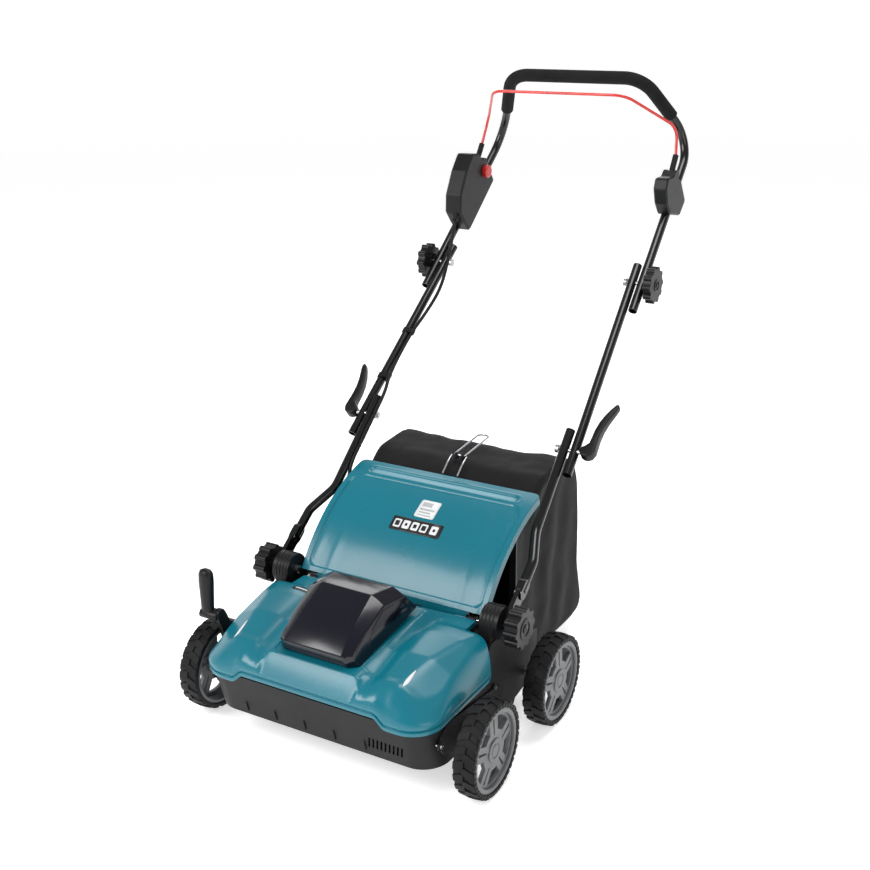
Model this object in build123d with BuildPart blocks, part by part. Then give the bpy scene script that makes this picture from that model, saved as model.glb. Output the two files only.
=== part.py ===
"""Battery lawn dethatcher (scarifier), 380 mm working width, millimetres, +Z up.

X points to the machine's right, Y to the rear (handle side). Stations along Y are measured
from the front axle, and front_axle_y shifts them so the origin is the footprint's centre.
"""
import os
from math import cos, radians, sin

from build123d import *

os.makedirs("parts", exist_ok=True)

# ---- driving dimensions -------------------------------------------------
front_axle_y = -453.1      # front axle in the object's own frame
wheel_r = 85
wheel_width = 40
wheel_x = 286              # middle of a wheel
wheelbase = 252
axle_r = 8
running_gap = 0.05         # radial clearance of a shaft in its bearing

body_half = 232            # chassis side faces
tunnel_half = 200          # inside of the working tunnel
wall = 3

drum_y, drum_z = 125, 80
drum_shaft_r = 10
blade_r = 70
blade_count = 16
motor_y, motor_z = -33, 108
motor_r = 39
motor_pulley_r = 19
drum_pulley_r = 28
belt_x = 219
belt_thickness = 3

crank_y, crank_z = 25, 100  # height-setting axle
tilt_y, tilt_z = 152, 232   # handle pivot on the housing
fold_y, fold_z = 440, 454.5   # quick-release bolt between lower and middle tubes
top_y, top_z = 749, 708.5   # star-knob bolt between middle tubes and U handle

tube_r = 9
tube_bore = 7.6
grip_r = 13.5
bolt_r = 4
knob_r = 37

lid_y, lid_z = 158, 233
lid_half = 197.5
bail_y, bail_z, bail_x = 910, 902, 226
cable_r = 3.5


def side(x=0):
    """Plane at a given X: local x runs rearward from the front axle, local y up."""
    return Plane(origin=(x, front_axle_y, 0), x_dir=(0, 1, 0), z_dir=(1, 0, 0))


def plan(z=0):
    """Level plane: local x is X, local y runs rearward from the front axle."""
    return Plane(origin=(0, front_axle_y, z))


def at(x, y, z):
    """Point from X, station and height."""
    return Vector(x, front_axle_y + y, z)


def tilted(y, z, slope):
    """Plane along a slope in the side view: local x is X, local y climbs rearward."""
    rise = radians(slope)
    return Plane(origin=at(0, y, z), x_dir=(1, 0, 0), z_dir=(0, -sin(rise), cos(rise)))


def write(part, name):
    part.label = name
    export_step(part, f"parts/{name}.step")


def bolt_holes(x0, x1, y, z, r):
    """Cut a bore along X between two planes in the part being built."""
    bar(x0, x1, y, z, r, mode=Mode.SUBTRACT)


def bar(x0, x1, y, z, r, mode=Mode.ADD):
    """Round bar along X."""
    with BuildSketch(side(x0)) as end:
        with Locations((y, z)):
            Circle(r)
    extrude(end.sketch, amount=x1 - x0, mode=mode)


def tube_along(points, radii, r, mode=Mode.ADD):
    """Round bar through points, with an arc at each inner corner."""
    with BuildLine() as route:
        if len(points) > 2:
            FilletPolyline(*points, radius=radii)
        else:
            Line(*points)
    with BuildSketch(Plane(origin=route.line @ 0, z_dir=route.line % 0)) as end:
        Circle(r)
    sweep(end.sketch, path=route.line, mode=mode)


# ---- chassis ------------------------------------------------------------
with BuildPart() as chassis_block:
    with BuildSketch(side(-body_half)):
        Polygon((-78, 58), (-104, 148), (60, 148), (90, 168), (118, 206), (176, 206),
                (300, 150), (300, 62), (212, 50), (206, 40), (44, 40), (38, 58), align=None)
    extrude(amount=2 * body_half)
    nose = chassis_block.faces().sort_by(Axis.Y)[0]
    corners = nose.edges().sort_by(Axis.X)
    fillet([corners[0], corners[-1]], 50)

pod_inner, pod_outer = 206, 226    # hollow of a side pod
screw_spots = [(-64, 108), (125, 118), (155, 56)]
gland_x, gland_y, gland_z = -218, 258, 174
with BuildPart() as base_housing:
    add(chassis_block.part)
    with BuildSketch(side(-tunnel_half)):
        # motor bay, drum tunnel and discharge throat
        Polygon((-73, 63), (-97, 152), (74, 152), (66, 142), (48, 125), (37, 100), (37, 63),
                align=None)
        with Locations((drum_y, drum_z)):
            Circle(blade_r + 10)
        Polygon((45, 80), (205, 80), (205, 30), (45, 30), align=None)
        Polygon((130, 120), (152, 150), (172, 220), (320, 220), (320, 104), (200, 104), align=None)
    extrude(amount=2 * tunnel_half, mode=Mode.SUBTRACT)
    for sign in (-1, 1):
        # side pods: hollow from below, with an opening for the belt drive
        with BuildSketch(side(sign * pod_inner)):
            Polygon((-48, 30), (-48, 142), (56, 142), (88, 160), (114, 198), (172, 198),
                    (285, 146), (285, 30), align=None)
        extrude(amount=sign * (pod_outer - pod_inner), mode=Mode.SUBTRACT)
        with BuildSketch(side(sign * pod_inner)):
            with Locations((drum_y, drum_z)):
                Circle(drum_pulley_r + 5)
            with Locations((motor_y, motor_z)):
                Circle(drum_pulley_r - 1)
            make_hull()
        extrude(amount=sign * 40, mode=Mode.SUBTRACT)
        for y, z in screw_spots:
            bar(sign * pod_outer, sign * body_half, y, z, 2, mode=Mode.SUBTRACT)
    # hollow under the discharge floor, crossed by the rear axle
    with BuildSketch(side(-192)):
        Polygon((212, 30), (212, 98), (292, 98), (292, 30), align=None)
    extrude(amount=384, mode=Mode.SUBTRACT)
    bolt_holes(-240, 240, wheelbase, wheel_r, axle_r)
    bolt_holes(-240, 240, crank_y, crank_z, axle_r + running_gap)
    for sign in (-1, 1):
        bolt_holes(sign * tunnel_half, sign * pod_inner, drum_y, drum_z, 16)
    bolt_holes(tunnel_half, pod_inner, motor_y, motor_z, 6)
    # air grille at the right of the nose
    with BuildSketch(Plane(origin=at(143, -88, 89), x_dir=(1, 0, 0), z_dir=(0, -1, -0.289))):
        with GridLocations(8, 1, 9, 1):
            Rectangle(3.6, 24, rotation=-12)
    extrude(amount=30, both=True, mode=Mode.SUBTRACT)
    # knuckles of the lid hinge on the rear bridge
    for x in (-170, -60, 60, 170):
        with BuildSketch(side(x - 8)):
            with Locations((lid_y + 5, 217)):
                Circle(7)
            with Locations((lid_y + 5, 210)):
                Rectangle(14, 12)
        extrude(amount=16)
    bolt_holes(-190, 190, lid_y + 5, 217, 3)
    # cable gland on the left pod
    with BuildSketch(plan(160)):
        with Locations((gland_x, gland_y)):
            Circle(7)
    extrude(amount=gland_z - 160)
write(base_housing.part, "base_housing")

# ---- hood ---------------------------------------------------------------
hood_half = 238


def hood_shell(drop):
    """Solid under the hood's surface, shrunk by drop on every side."""
    half = hood_half - drop
    with BuildPart() as shape:
        with BuildSketch(side(-half)):
            Polygon((-106 + drop, 139), (-112 + drop, 160), (-104 + drop, 186 - drop),
                    (-60, 209 - drop), (0, 223 - drop), (70, 229 - drop),
                    (112 - drop, 222 - drop), (112 - drop, 139), align=None)
        extrude(amount=2 * half)
        # rounded shoulders, seen from the front
        with BuildSketch(Plane(origin=at(0, 120, 0), x_dir=(1, 0, 0), z_dir=(0, -1, 0))) as front:
            Polygon((-half, 130), (-half, 231 - drop), (half, 231 - drop), (half, 130), align=None)
            fillet(front.vertices().group_by(Axis.Y)[-1], 40 - drop)
        extrude(amount=250, mode=Mode.INTERSECT)
        # rounded nose corners, seen from above
        with BuildSketch(plan(130)) as outline:
            Polygon((-half, -112 + drop), (half, -112 + drop), (half, 120), (-half, 120), align=None)
            fillet(outline.vertices().group_by(Axis.Y)[0], 58 - drop)
        extrude(amount=120, mode=Mode.INTERSECT)
        # rear middle, in front of the lid
        with BuildSketch(side(-186 + drop)):
            Polygon((90, 207), (90, 225 - drop), (150 - drop, 225 - drop), (150 - drop, 207),
                    align=None)
        extrude(amount=2 * (186 - drop))
        # plateau that carries the battery cover
        with BuildSketch(side(-110 + drop)):
            Polygon((-84 + drop, 190), (-84 + drop, 206.5 - drop), (110 - drop, 243.5 - drop),
                    (110 - drop, 190), align=None)
        extrude(amount=2 * (110 - drop))
    return shape.part


hood_outside = hood_shell(0)
hood_inside = hood_shell(wall)

with BuildPart() as hood:
    add(hood_outside)
    add(hood_inside, mode=Mode.SUBTRACT)
    # keep the underside open
    with BuildSketch(plan(138)):
        with Locations((0, 2)):
            Rectangle(2 * (hood_half - wall), 2 * (108 - wall))
    extrude(amount=16, mode=Mode.SUBTRACT)
    with BuildSketch(plan(206)):
        with Locations((0, 128)):
            Rectangle(2 * (186 - wall), 44 - 2 * wall)
    extrude(amount=8, mode=Mode.SUBTRACT)
    # battery mouth
    with BuildSketch(plan(195)):
        with Locations((0, 12)):
            Rectangle(146, 144)
    extrude(amount=60, mode=Mode.SUBTRACT)
    add(chassis_block.part, mode=Mode.SUBTRACT)
write(hood.part, "hood")

# ---- housing fittings ---------------------------------------------------
cover_thickness = 4
for sign, name in ((1, "belt_cover"), (-1, "bearing_cover")):
    with BuildPart() as cover:
        with BuildSketch(side(sign * body_half)):
            with Locations((drum_y, drum_z)):
                Circle(drum_pulley_r + 9)
            with Locations((motor_y, motor_z)):
                Circle(drum_pulley_r + 2)
            make_hull()
            with Locations(*screw_spots):
                Circle(7)
            with Locations((crank_y, crank_z)):
                Circle(axle_r + 2, mode=Mode.SUBTRACT)
            with Locations(*screw_spots):
                Circle(2, mode=Mode.SUBTRACT)
        extrude(amount=sign * cover_thickness)
    write(cover.part, name)

with BuildPart() as cover_screws:
    for sign in (-1, 1):
        for y, z in screw_spots:
            bar(sign * (pod_outer + 1), sign * (body_half + cover_thickness), y, z, 2)
            bar(sign * (body_half + cover_thickness), sign * (body_half + cover_thickness + 2.5),
                y, z, 4)
write(cover_screws.part, "cover_screws")

boss_r = 30
for sign, hand in ((-1, "left"), (1, "right")):
    with BuildPart() as boss:
        bar(sign * 204, sign * 239, tilt_y, tilt_z, boss_r)
        with BuildSketch(side(sign * 206)):
            Polygon((122, tilt_z), (182, tilt_z), (190, 203), (176, 206), (118, 206), align=None)
        extrude(amount=sign * 24)
        bar(sign * 204, sign * 239, tilt_y, tilt_z, bolt_r, mode=Mode.SUBTRACT)
        add(base_housing.part, mode=Mode.SUBTRACT)
    write(boss.part, f"handle_boss_{hand}")

with BuildPart() as tilt_bolts:
    for sign in (-1, 1):
        bar(sign * 200, sign * 276, tilt_y, tilt_z, bolt_r)
        bar(sign * 198, sign * 204, tilt_y, tilt_z, 8)
write(tilt_bolts.part, "tilt_bolts")

with BuildPart() as lid_hinge_pin:
    bar(-186, 186, lid_y + 5, 217, 3)
write(lid_hinge_pin.part, "lid_hinge_pin")

with BuildPart() as rear_axle:
    bar(-299, 299, wheelbase, wheel_r, axle_r)
write(rear_axle.part, "rear_axle")

# ---- motor and belt drive -----------------------------------------------
with BuildPart() as motor:
    bar(70, 190, motor_y, motor_z, motor_r)
    bar(190, 200, motor_y, motor_z, 18)
    with BuildSketch(Plane(origin=at(100, motor_y, motor_z), x_dir=(0, 1, 0), z_dir=(1, 0, 0))):
        Circle(motor_r)
        Circle(motor_r - 3, mode=Mode.SUBTRACT)
    extrude(amount=4, mode=Mode.SUBTRACT)
    bar(186, 200, motor_y, motor_z, 5 + running_gap, mode=Mode.SUBTRACT)
write(motor.part, "motor")

pulley_half = 6
with BuildPart() as motor_pulley:
    bar(187, 226, motor_y, motor_z, 5)
    bar(belt_x - pulley_half, belt_x + pulley_half, motor_y, motor_z, motor_pulley_r)
write(motor_pulley.part, "motor_pulley")

with BuildPart() as drum_pulley:
    bar(belt_x - pulley_half, belt_x + pulley_half, drum_y, drum_z, drum_pulley_r)
    bar(belt_x - pulley_half, belt_x + pulley_half, drum_y, drum_z, drum_shaft_r,
        mode=Mode.SUBTRACT)
write(drum_pulley.part, "drum_pulley")

belt_gap = 0.3
with BuildPart() as drive_belt:
    for grow, mode in ((belt_gap + belt_thickness, Mode.ADD), (belt_gap, Mode.SUBTRACT)):
        with BuildSketch(side(belt_x - 4)):
            with Locations((drum_y, drum_z)):
                Circle(drum_pulley_r + grow)
            with Locations((motor_y, motor_z)):
                Circle(motor_pulley_r + grow)
            make_hull()
        extrude(amount=8, mode=mode)
write(drive_belt.part, "drive_belt")

# ---- working drum -------------------------------------------------------
with BuildPart() as drum_shaft:
    bar(-212, 226, drum_y, drum_z, drum_shaft_r)
write(drum_shaft.part, "drum_shaft")

with BuildPart() as drum_bearings:
    for sign in (-1, 1):
        bar(sign * tunnel_half, sign * 206, drum_y, drum_z, 16)
        bar(sign * tunnel_half, sign * 206, drum_y, drum_z, drum_shaft_r + running_gap,
            mode=Mode.SUBTRACT)
write(drum_bearings.part, "drum_bearings")

blade_pitch = 2 * 180 / blade_count
blade_stations = [blade_pitch * (i - (blade_count - 1) / 2) for i in range(blade_count)]
with BuildPart() as drum_blades:
    for i, x in enumerate(blade_stations):
        with BuildSketch(Plane(origin=at(x - 1, drum_y, drum_z), x_dir=(0, 1, 0), z_dir=(1, 0, 0))):
            Circle(26)
            with PolarLocations(0, 2, start_angle=37 * i):
                Polygon((14, -22), (40, -16), (blade_r - 2, -15), (blade_r - 6, 8), (20, 20),
                        align=None)
            Circle(drum_shaft_r, mode=Mode.SUBTRACT)
        extrude(amount=2)
write(drum_blades.part, "drum_blades")

with BuildPart() as drum_spacers:
    stops = [-186] + blade_stations + [186]
    for i, (x0, x1) in enumerate(zip(stops[:-1], stops[1:])):
        start = x0 if i == 0 else x0 + 1
        end = x1 if i == len(stops) - 2 else x1 - 1
        bar(start, end, drum_y, drum_z, 16)
        bar(start, end, drum_y, drum_z, drum_shaft_r, mode=Mode.SUBTRACT)
write(drum_spacers.part, "drum_spacers")

# ---- battery bay --------------------------------------------------------
pack_slope = 24
pack_plane = tilted(6, 232, pack_slope)
with BuildPart() as battery_packs:
    with BuildSketch(pack_plane.offset(-26)):
        with Locations((-36, 0), (36, 0)):
            RectangleRounded(64, 100, 6)
    extrude(amount=44)
    with BuildSketch(pack_plane.offset(-26)):
        with Locations((-36, 30), (36, 30)):
            Rectangle(40, 50)
    extrude(amount=10, mode=Mode.SUBTRACT)
write(battery_packs.part, "battery_packs")

with BuildPart() as battery_tray:
    with BuildSketch(pack_plane.offset(-30)):
        Rectangle(142, 112)
    extrude(amount=22)
    with BuildSketch(pack_plane.offset(-26)):
        Rectangle(136, 104)
    extrude(amount=30, mode=Mode.SUBTRACT)
    with BuildSketch(pack_plane.offset(-26)):
        with Locations((-36, 30), (36, 30)):
            Rectangle(36, 46)
    extrude(amount=8)
write(battery_tray.part, "battery_tray")

cover_pin_y, cover_pin_z = 104, 251


def cover_solid(drop):
    """Wedge under the battery cover's surface, shrunk by drop."""
    with BuildPart() as shape:
        with BuildSketch(side(-100)):
            Polygon((-76 + drop, 211 - drop), (-83 + drop, 234 - drop), (22, 299 - drop),
                    (76 - drop, 295 - drop), (98 - drop, 260), (98 - drop, 250 - drop),
                    align=None)
        extrude(amount=200)
        with BuildSketch(plan(205)):
            Polygon((-78 + drop, -90), (78 - drop, -90), (112 - drop, 125), (-112 + drop, 125),
                    align=None)
        extrude(amount=100, taper=13, mode=Mode.INTERSECT)
    return shape.part


cover_outside = cover_solid(0)
cover_inside = cover_solid(wall)

with BuildPart() as battery_cover:
    add(cover_outside)
    add(cover_inside, mode=Mode.SUBTRACT)
    with BuildSketch(side(-100)):
        Polygon((-90, 190), (-90, 208.3), (104, 250.9), (104, 190), align=None)
    extrude(amount=200, mode=Mode.SUBTRACT)
    for x in (-50, 50):
        bar(x - 9, x + 9, cover_pin_y, cover_pin_z, 5)
        with BuildSketch(side(x - 9)):
            Polygon((96, 252), (96, 260), (cover_pin_y, cover_pin_z + 5), (cover_pin_y, cover_pin_z),
                    align=None)
        extrude(amount=18)
    bar(-62, 62, cover_pin_y, cover_pin_z, 2 + running_gap, mode=Mode.SUBTRACT)
write(battery_cover.part, "battery_cover")

with BuildPart() as cover_hinge:
    bar(-66, 66, cover_pin_y, cover_pin_z, 2)
    for x in (-66, -41, 35, 60):
        with BuildSketch(side(x)):
            with Locations((cover_pin_y, cover_pin_z)):
                Circle(4.5)
            Polygon((cover_pin_y - 4.5, cover_pin_z), (cover_pin_y + 4.5, cover_pin_z),
                    (cover_pin_y + 4.5, 243), (cover_pin_y - 4.5, 243), align=None)
            with Locations((cover_pin_y, cover_pin_z)):
                Circle(2, mode=Mode.SUBTRACT)
        extrude(amount=6)
    add(hood.part, mode=Mode.SUBTRACT)
write(cover_hinge.part, "cover_hinge")

# ---- lid over the discharge ---------------------------------------------
lid_arch = [(lid_y, lid_z), (254, 330.5), (381, 381)]


def lid_arc(depth):
    """The lid's arch, moved in by depth towards its centre of curvature."""
    return [(y + depth * 0.55, z - depth * 0.83) for y, z in lid_arch]


def lid_slab(x0, x1, top, bottom, mode=Mode.ADD):
    """Part of the arched plate between two X stations and two depths below the crown."""
    upper, lower = lid_arc(top), lid_arc(bottom)
    with BuildSketch(side(x0)) as profile:
        with BuildLine():
            ThreePointArc(*upper)
            Line(upper[2], lower[2])
            ThreePointArc(*lower)
            Line(lower[0], upper[0])
        make_face()
    extrude(profile.sketch, amount=x1 - x0, mode=mode)


rim_width = 11
with BuildPart() as lid:
    lid_slab(-lid_half, lid_half, 3, 6)
    for sign in (-1, 1):
        lid_slab(sign * (lid_half - rim_width), sign * lid_half, 0, 3)
        lid_slab(sign * (lid_half - 3), sign * lid_half, 6, 16)
    for x in (-150, 150):
        with BuildSketch(side(x - 10)):
            with Locations((lid_y + 5, 217)):
                Circle(7)
            Polygon((lid_y - 2, 217), (lid_y + 12, 217), (lid_y + 14, 246), (lid_y + 4, 236),
                    align=None)
        extrude(amount=20)
    bar(-190, 190, lid_y + 5, 217, 3 + running_gap, mode=Mode.SUBTRACT)
write(lid.part, "lid")

# ---- wheels -------------------------------------------------------------
rim_r = 74
corners = [(side_name + hand, sign, y) for side_name, y in (("front_", 0), ("rear_", wheelbase))
           for hand, sign in (("left", -1), ("right", 1))]
for corner, sign, y in corners:
    inner, outer = wheel_x - wheel_width / 2, wheel_x + wheel_width / 2
    with BuildPart() as tyre:
        bar(sign * inner, sign * outer, y, wheel_r, wheel_r)
        chamfer(tyre.edges().filter_by(GeomType.CIRCLE), 2.5)
        bar(sign * inner, sign * outer, y, wheel_r, rim_r, mode=Mode.SUBTRACT)
    write(tyre.part, f"tyre_{corner}")
    with BuildPart() as rim:
        bar(sign * (inner + 2), sign * (outer - 2), y, wheel_r, rim_r)
        bar(sign * (inner + 2), sign * (outer - 18), y, wheel_r, rim_r - 7, mode=Mode.SUBTRACT)
        bar(sign * (outer - 8), sign * (outer - 2), y, wheel_r, rim_r - 7, mode=Mode.SUBTRACT)
        bar(sign * (inner + 1), sign * (outer - 2), y, wheel_r, 22)
        with BuildSketch(side(sign * (outer - 25))):
            with Locations((y, wheel_r)):
                with PolarLocations(46, 5, start_angle=90):
                    Rectangle(30, 7)
                with PolarLocations(48, 5, start_angle=126):
                    Trapezoid(34, 28, 68, rotation=90)
        extrude(amount=sign * 24, mode=Mode.SUBTRACT)
        bar(sign * (inner + 1), sign * (outer - 6), y, wheel_r, axle_r + running_gap,
            mode=Mode.SUBTRACT)
    write(rim.part, f"rim_{corner}")

# ---- working-depth crank ------------------------------------------------
with BuildPart() as front_axle:
    bar(-263, 251, crank_y, crank_z, axle_r)
    for sign in (-1, 1):
        with BuildSketch(side(sign * 241)):
            with Locations((crank_y, crank_z), (0, wheel_r)):
                Circle(14)
            make_hull()
        extrude(amount=sign * 10)
        bar(sign * 251, sign * 299, 0, wheel_r, axle_r)
write(front_axle.part, "front_axle")

with BuildPart() as depth_lever:
    with BuildSketch(side(-252)):
        with Locations((crank_y, crank_z)):
            Circle(15)
        with Locations((-14, 198)):
            Circle(12)
        make_hull()
    extrude(amount=-11)
    bar(-252, -263, crank_y, crank_z, axle_r, mode=Mode.SUBTRACT)
    # shelf over the wheel, then the upright grip
    with BuildSketch(side(-252)):
        with Locations((-18, 201)):
            RectangleRounded(26, 16, 5, rotation=8)
    extrude(amount=-44)
    with BuildSketch(Plane(origin=at(-280, -21, 200), z_dir=(0, 0.06, 1), x_dir=(1, 0, 0))):
        RectangleRounded(33, 23, 9)
    extrude(amount=78)
    fillet(depth_lever.faces().sort_by(Axis.Z)[-1].edges(), 6)
write(depth_lever.part, "depth_lever")

# ---- folding handle -----------------------------------------------------
lower_route = [(244, 206, 271), (243, 255, 308), (220, 311, 339), (214.5, 468, 484)]
middle_route = [(238, 403, 420), (212.5, 781, 737)]
handle_route = [(237, 700, 664), (221, 1035, 955), (150, 925, 1089)]


def mirrored(points, sign):
    return [at(sign * x, y, z) for x, y, z in points]


def both_hands(points):
    return mirrored(points, 1) + mirrored(points, -1)[::-1]


for sign, hand in ((-1, "left"), (1, "right")):
    with BuildPart() as lower_tube:
        tube_along(mirrored(lower_route, sign), [40, 60], tube_r)
        tube_along(mirrored(lower_route, sign), [40, 60], tube_bore, mode=Mode.SUBTRACT)
        # flattened end that clamps against the boss
        with BuildSketch(side(sign * 240)):
            with Locations((tilt_y, tilt_z), (200, 267)):
                Circle(13)
            make_hull()
        extrude(amount=sign * 8)
        with BuildSketch(side(sign * 237)):
            with Locations((203, 269), (216, 279)):
                Circle(11.5)
            make_hull()
        extrude(amount=sign * 14)
        bar(sign * 230, sign * 256, tilt_y, tilt_z, bolt_r + running_gap, mode=Mode.SUBTRACT)
        bar(sign * 190, sign * 226, fold_y, fold_z, bolt_r, mode=Mode.SUBTRACT)
    write(lower_tube.part, f"lower_tube_{hand}")

    with BuildPart() as middle_tube:
        tube_along(mirrored(middle_route, sign), None, tube_r)
        tube_along(mirrored(middle_route, sign), None, tube_bore, mode=Mode.SUBTRACT)
        bar(sign * 225, sign * 252, fold_y, fold_z, bolt_r + running_gap, mode=Mode.SUBTRACT)
        bar(sign * 200, sign * 225, top_y, top_z, bolt_r, mode=Mode.SUBTRACT)
    write(middle_tube.part, f"middle_tube_{hand}")

with BuildPart() as handle_core:
    tube_along(both_hands(handle_route), [70, 60, 60, 70], tube_r)

with BuildPart() as upper_handle:
    add(handle_core.part)
    tube_along(both_hands(handle_route), [70, 60, 60, 70], tube_bore, mode=Mode.SUBTRACT)
    for sign in (-1, 1):
        bar(sign * 222, sign * 250, top_y, top_z, bolt_r + running_gap, mode=Mode.SUBTRACT)
write(upper_handle.part, "upper_handle")

grip_start = (191.9, 989.9, 1009.9)
with BuildPart() as foam_grip:
    tube_along(both_hands([grip_start, handle_route[2]]), [60, 60], grip_r)
    add(handle_core.part, mode=Mode.SUBTRACT)
write(foam_grip.part, "foam_grip")

# ---- joint fasteners ----------------------------------------------------
with BuildPart() as upper_bolts:
    for sign in (-1, 1):
        bar(sign * 198, sign * 260, top_y, top_z, bolt_r)
        bar(sign * 198, sign * 204, top_y, top_z, 8)
write(upper_bolts.part, "upper_bolts")


def star_knob(x0, x1, y, z, depth):
    """Ten-lobed clamping knob on a stepped hub, blind bore from its inner face."""
    out = 1 if x1 > x0 else -1
    with BuildPart() as knob:
        with BuildSketch(side(x0 + out * 5)):
            with Locations((y, z)):
                Circle(knob_r - 5)
                with PolarLocations(knob_r - 6, 10):
                    Circle(6)
                with PolarLocations(knob_r + 2.5, 10, start_angle=18):
                    Circle(5.5, mode=Mode.SUBTRACT)
        extrude(amount=x1 - x0 - out * 5)
        bar(x0, x1, y, z, 16)
        bar(x0, x0 + out * depth, y, z, bolt_r + running_gap, mode=Mode.SUBTRACT)
    return knob.part


for sign, hand in ((-1, "left"), (1, "right")):
    write(star_knob(sign * 250, sign * 280, tilt_y, tilt_z, 27), f"tilt_knob_{hand}")
    write(star_knob(sign * 244.5, sign * 266, top_y, top_z, 16.5), f"upper_knob_{hand}")

lever_slope = 37.7         # quick-release blades lie along the tubes
lever_x = 258
lever_length = 114


def lever_plane(sign):
    """Local x along the blade, local y towards the machine's left, normal along the pin."""
    rise = radians(lever_slope)
    return Plane(origin=at(sign * lever_x, fold_y, fold_z), x_dir=(0, cos(rise), sin(rise)),
                 z_dir=(0, -sin(rise), cos(rise)))


with BuildPart() as fold_bolts:
    for sign in (-1, 1):
        bar(sign * 196, sign * (lever_x + 4), fold_y, fold_z, bolt_r)
        bar(sign * 198, sign * 205, fold_y, fold_z, 8)
        with BuildSketch(lever_plane(sign)) as pin:
            Circle(2.5)
        extrude(pin.sketch, amount=10, both=True)
write(fold_bolts.part, "fold_bolts")

for sign, hand in ((-1, "left"), (1, "right")):
    with BuildPart() as cam_lever:
        with BuildSketch(lever_plane(sign)):
            Circle(10)
            Polygon(*[(along, -sign * out) for along, out in
                      ((-4, 9), (14, 12), (60, 13), (lever_length, 17), (lever_length + 2, 12),
                       (60, 7), (18, 3), (4, -9))], align=None)
        extrude(amount=11, both=True)
        with BuildSketch(lever_plane(sign)):
            Circle(2.5 + running_gap)
        extrude(amount=12, both=True, mode=Mode.SUBTRACT)
        # slot that clears the bolt as the lever swings out
        with BuildSketch(lever_plane(sign)):
            Circle(6.3)
            Polygon(*[(along, -sign * out) for along, out in
                      ((-14, -14), (-14, 8), (0, 6), (4.8, 3), (4.8, -14))],
                    align=None)
        extrude(amount=4.6, both=True, mode=Mode.SUBTRACT)
    write(cam_lever.part, f"cam_lever_{hand}")

# ---- controls -----------------------------------------------------------
box_split = 226
box_outline = [(790, 808), (792, 846), (818, 895), (845, 928), (878, 925), (938, 872),
               (946, 858), (832, 763), (812, 782)]
button_y, button_z, button_r = 903, 884, 14
cable_start = (212, 786, 793.3)


def bail_ear(sign, outer):
    """Lug round the bail pivot, from the middle of the control box to a given X."""
    with BuildSketch(side(sign * box_split)) as lug:
        with Locations((bail_y, bail_z)):
            Circle(10)
        with Locations((885, 885), (905, 865)):
            Circle(8)
        make_hull()
    extrude(lug.sketch, amount=sign * (outer - box_split))


def bail_pocket(sign):
    """Room for the bail's knuckle and its swing."""
    reach = 34
    with BuildSketch(side(sign * 217.5)) as room:
        with Locations((bail_y, bail_z)):
            Circle(9.8)
            with Locations(*[(reach * cos(radians(a)), reach * sin(radians(a)))
                             for a in (60, 30)]):
                Circle(9.8)
        make_hull()
    extrude(room.sketch, amount=sign * 17, mode=Mode.SUBTRACT)


with BuildPart() as switch_case:
    with BuildSketch(side(-240)) as outline:
        Polygon(*box_outline, align=None)
        fillet(outline.vertices(), 7)
    extrude(amount=240 - box_split)
    chamfer(switch_case.faces().sort_by(Axis.X)[0].edges(), 4)
    bail_ear(-1, 240)
    bail_pocket(-1)
    bar(-237, -218, bail_y, bail_z, 3)
    add(handle_core.part, mode=Mode.SUBTRACT)
write(switch_case.part, "switch_case")

with BuildPart() as switch_cover:
    with BuildSketch(side(-box_split)) as outline:
        Polygon(*box_outline, align=None)
        fillet(outline.vertices(), 7)
    extrude(amount=box_split - 200)
    chamfer(switch_cover.faces().sort_by(Axis.X)[-1].edges(), 4)
    # strain relief of the cable
    tube_along(mirrored([(214.8, 796.5, 811), cable_start], -1), None, 6.5)
    bail_ear(-1, 205)
    bail_pocket(-1)
    bar(-218.4, -216, bail_y, bail_z, 3, mode=Mode.SUBTRACT)
    bar(-212, -195, button_y, button_z, button_r + 0.4, mode=Mode.SUBTRACT)
    add(handle_core.part, mode=Mode.SUBTRACT)
write(switch_cover.part, "switch_cover")

with BuildPart() as stop_button:
    bar(-206, -190, button_y, button_z, button_r)
    fillet(stop_button.faces().sort_by(Axis.X)[-1].edges(), 4)
write(stop_button.part, "stop_button")

with BuildPart() as bail_bracket:
    with BuildSketch(side(211)) as outline:
        Polygon((858, 902), (850, 880), (860, 850), (880, 826), (938, 815), (968, 842),
                (936, 888), (905, 902), align=None)
        fillet(outline.vertices(), 7)
    extrude(amount=29)
    chamfer(bail_bracket.faces().filter_by(Axis.X).edges(), 3)
    bail_ear(1, 211)
    bail_ear(1, 240)
    bail_pocket(1)
    bar(214, 237, bail_y, bail_z, 3)
    add(handle_core.part, mode=Mode.SUBTRACT)
write(bail_bracket.part, "bail_bracket")

sleeve_end = (225.5, 934, 938)
with BuildPart() as bail_ends:
    for sign in (-1, 1):
        bar(sign * 218.5, sign * 233.5, bail_y, bail_z, 9)
        tube_along(mirrored([(bail_x, bail_y, bail_z), sleeve_end], sign), None, 6)
        bar(sign * 218.5, sign * 233.5, bail_y, bail_z, 3 + running_gap, mode=Mode.SUBTRACT)
write(bail_ends.part, "bail_ends")

with BuildPart() as bail_lever:
    tube_along(both_hands([sleeve_end, (219, 952, 992), (148, 838, 1062)]),
               [30, 40, 40, 30], 3)
    add(bail_ends.part, mode=Mode.SUBTRACT)
write(bail_lever.part, "bail_lever")

# ---- cable held along the left side -------------------------------------


def arc_radii(points):
    """Largest smooth arc for each corner of a cable route."""
    radii = []
    for before, here, after in zip(points[:-2], points[1:-1], points[2:]):
        turn = radians((here - before).get_angle(after - here))
        reach = 0.45 * min((here - before).length, (after - here).length)
        radii.append(reach / max(sin(turn / 2) / cos(turn / 2), 0.01))
    return radii


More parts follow.
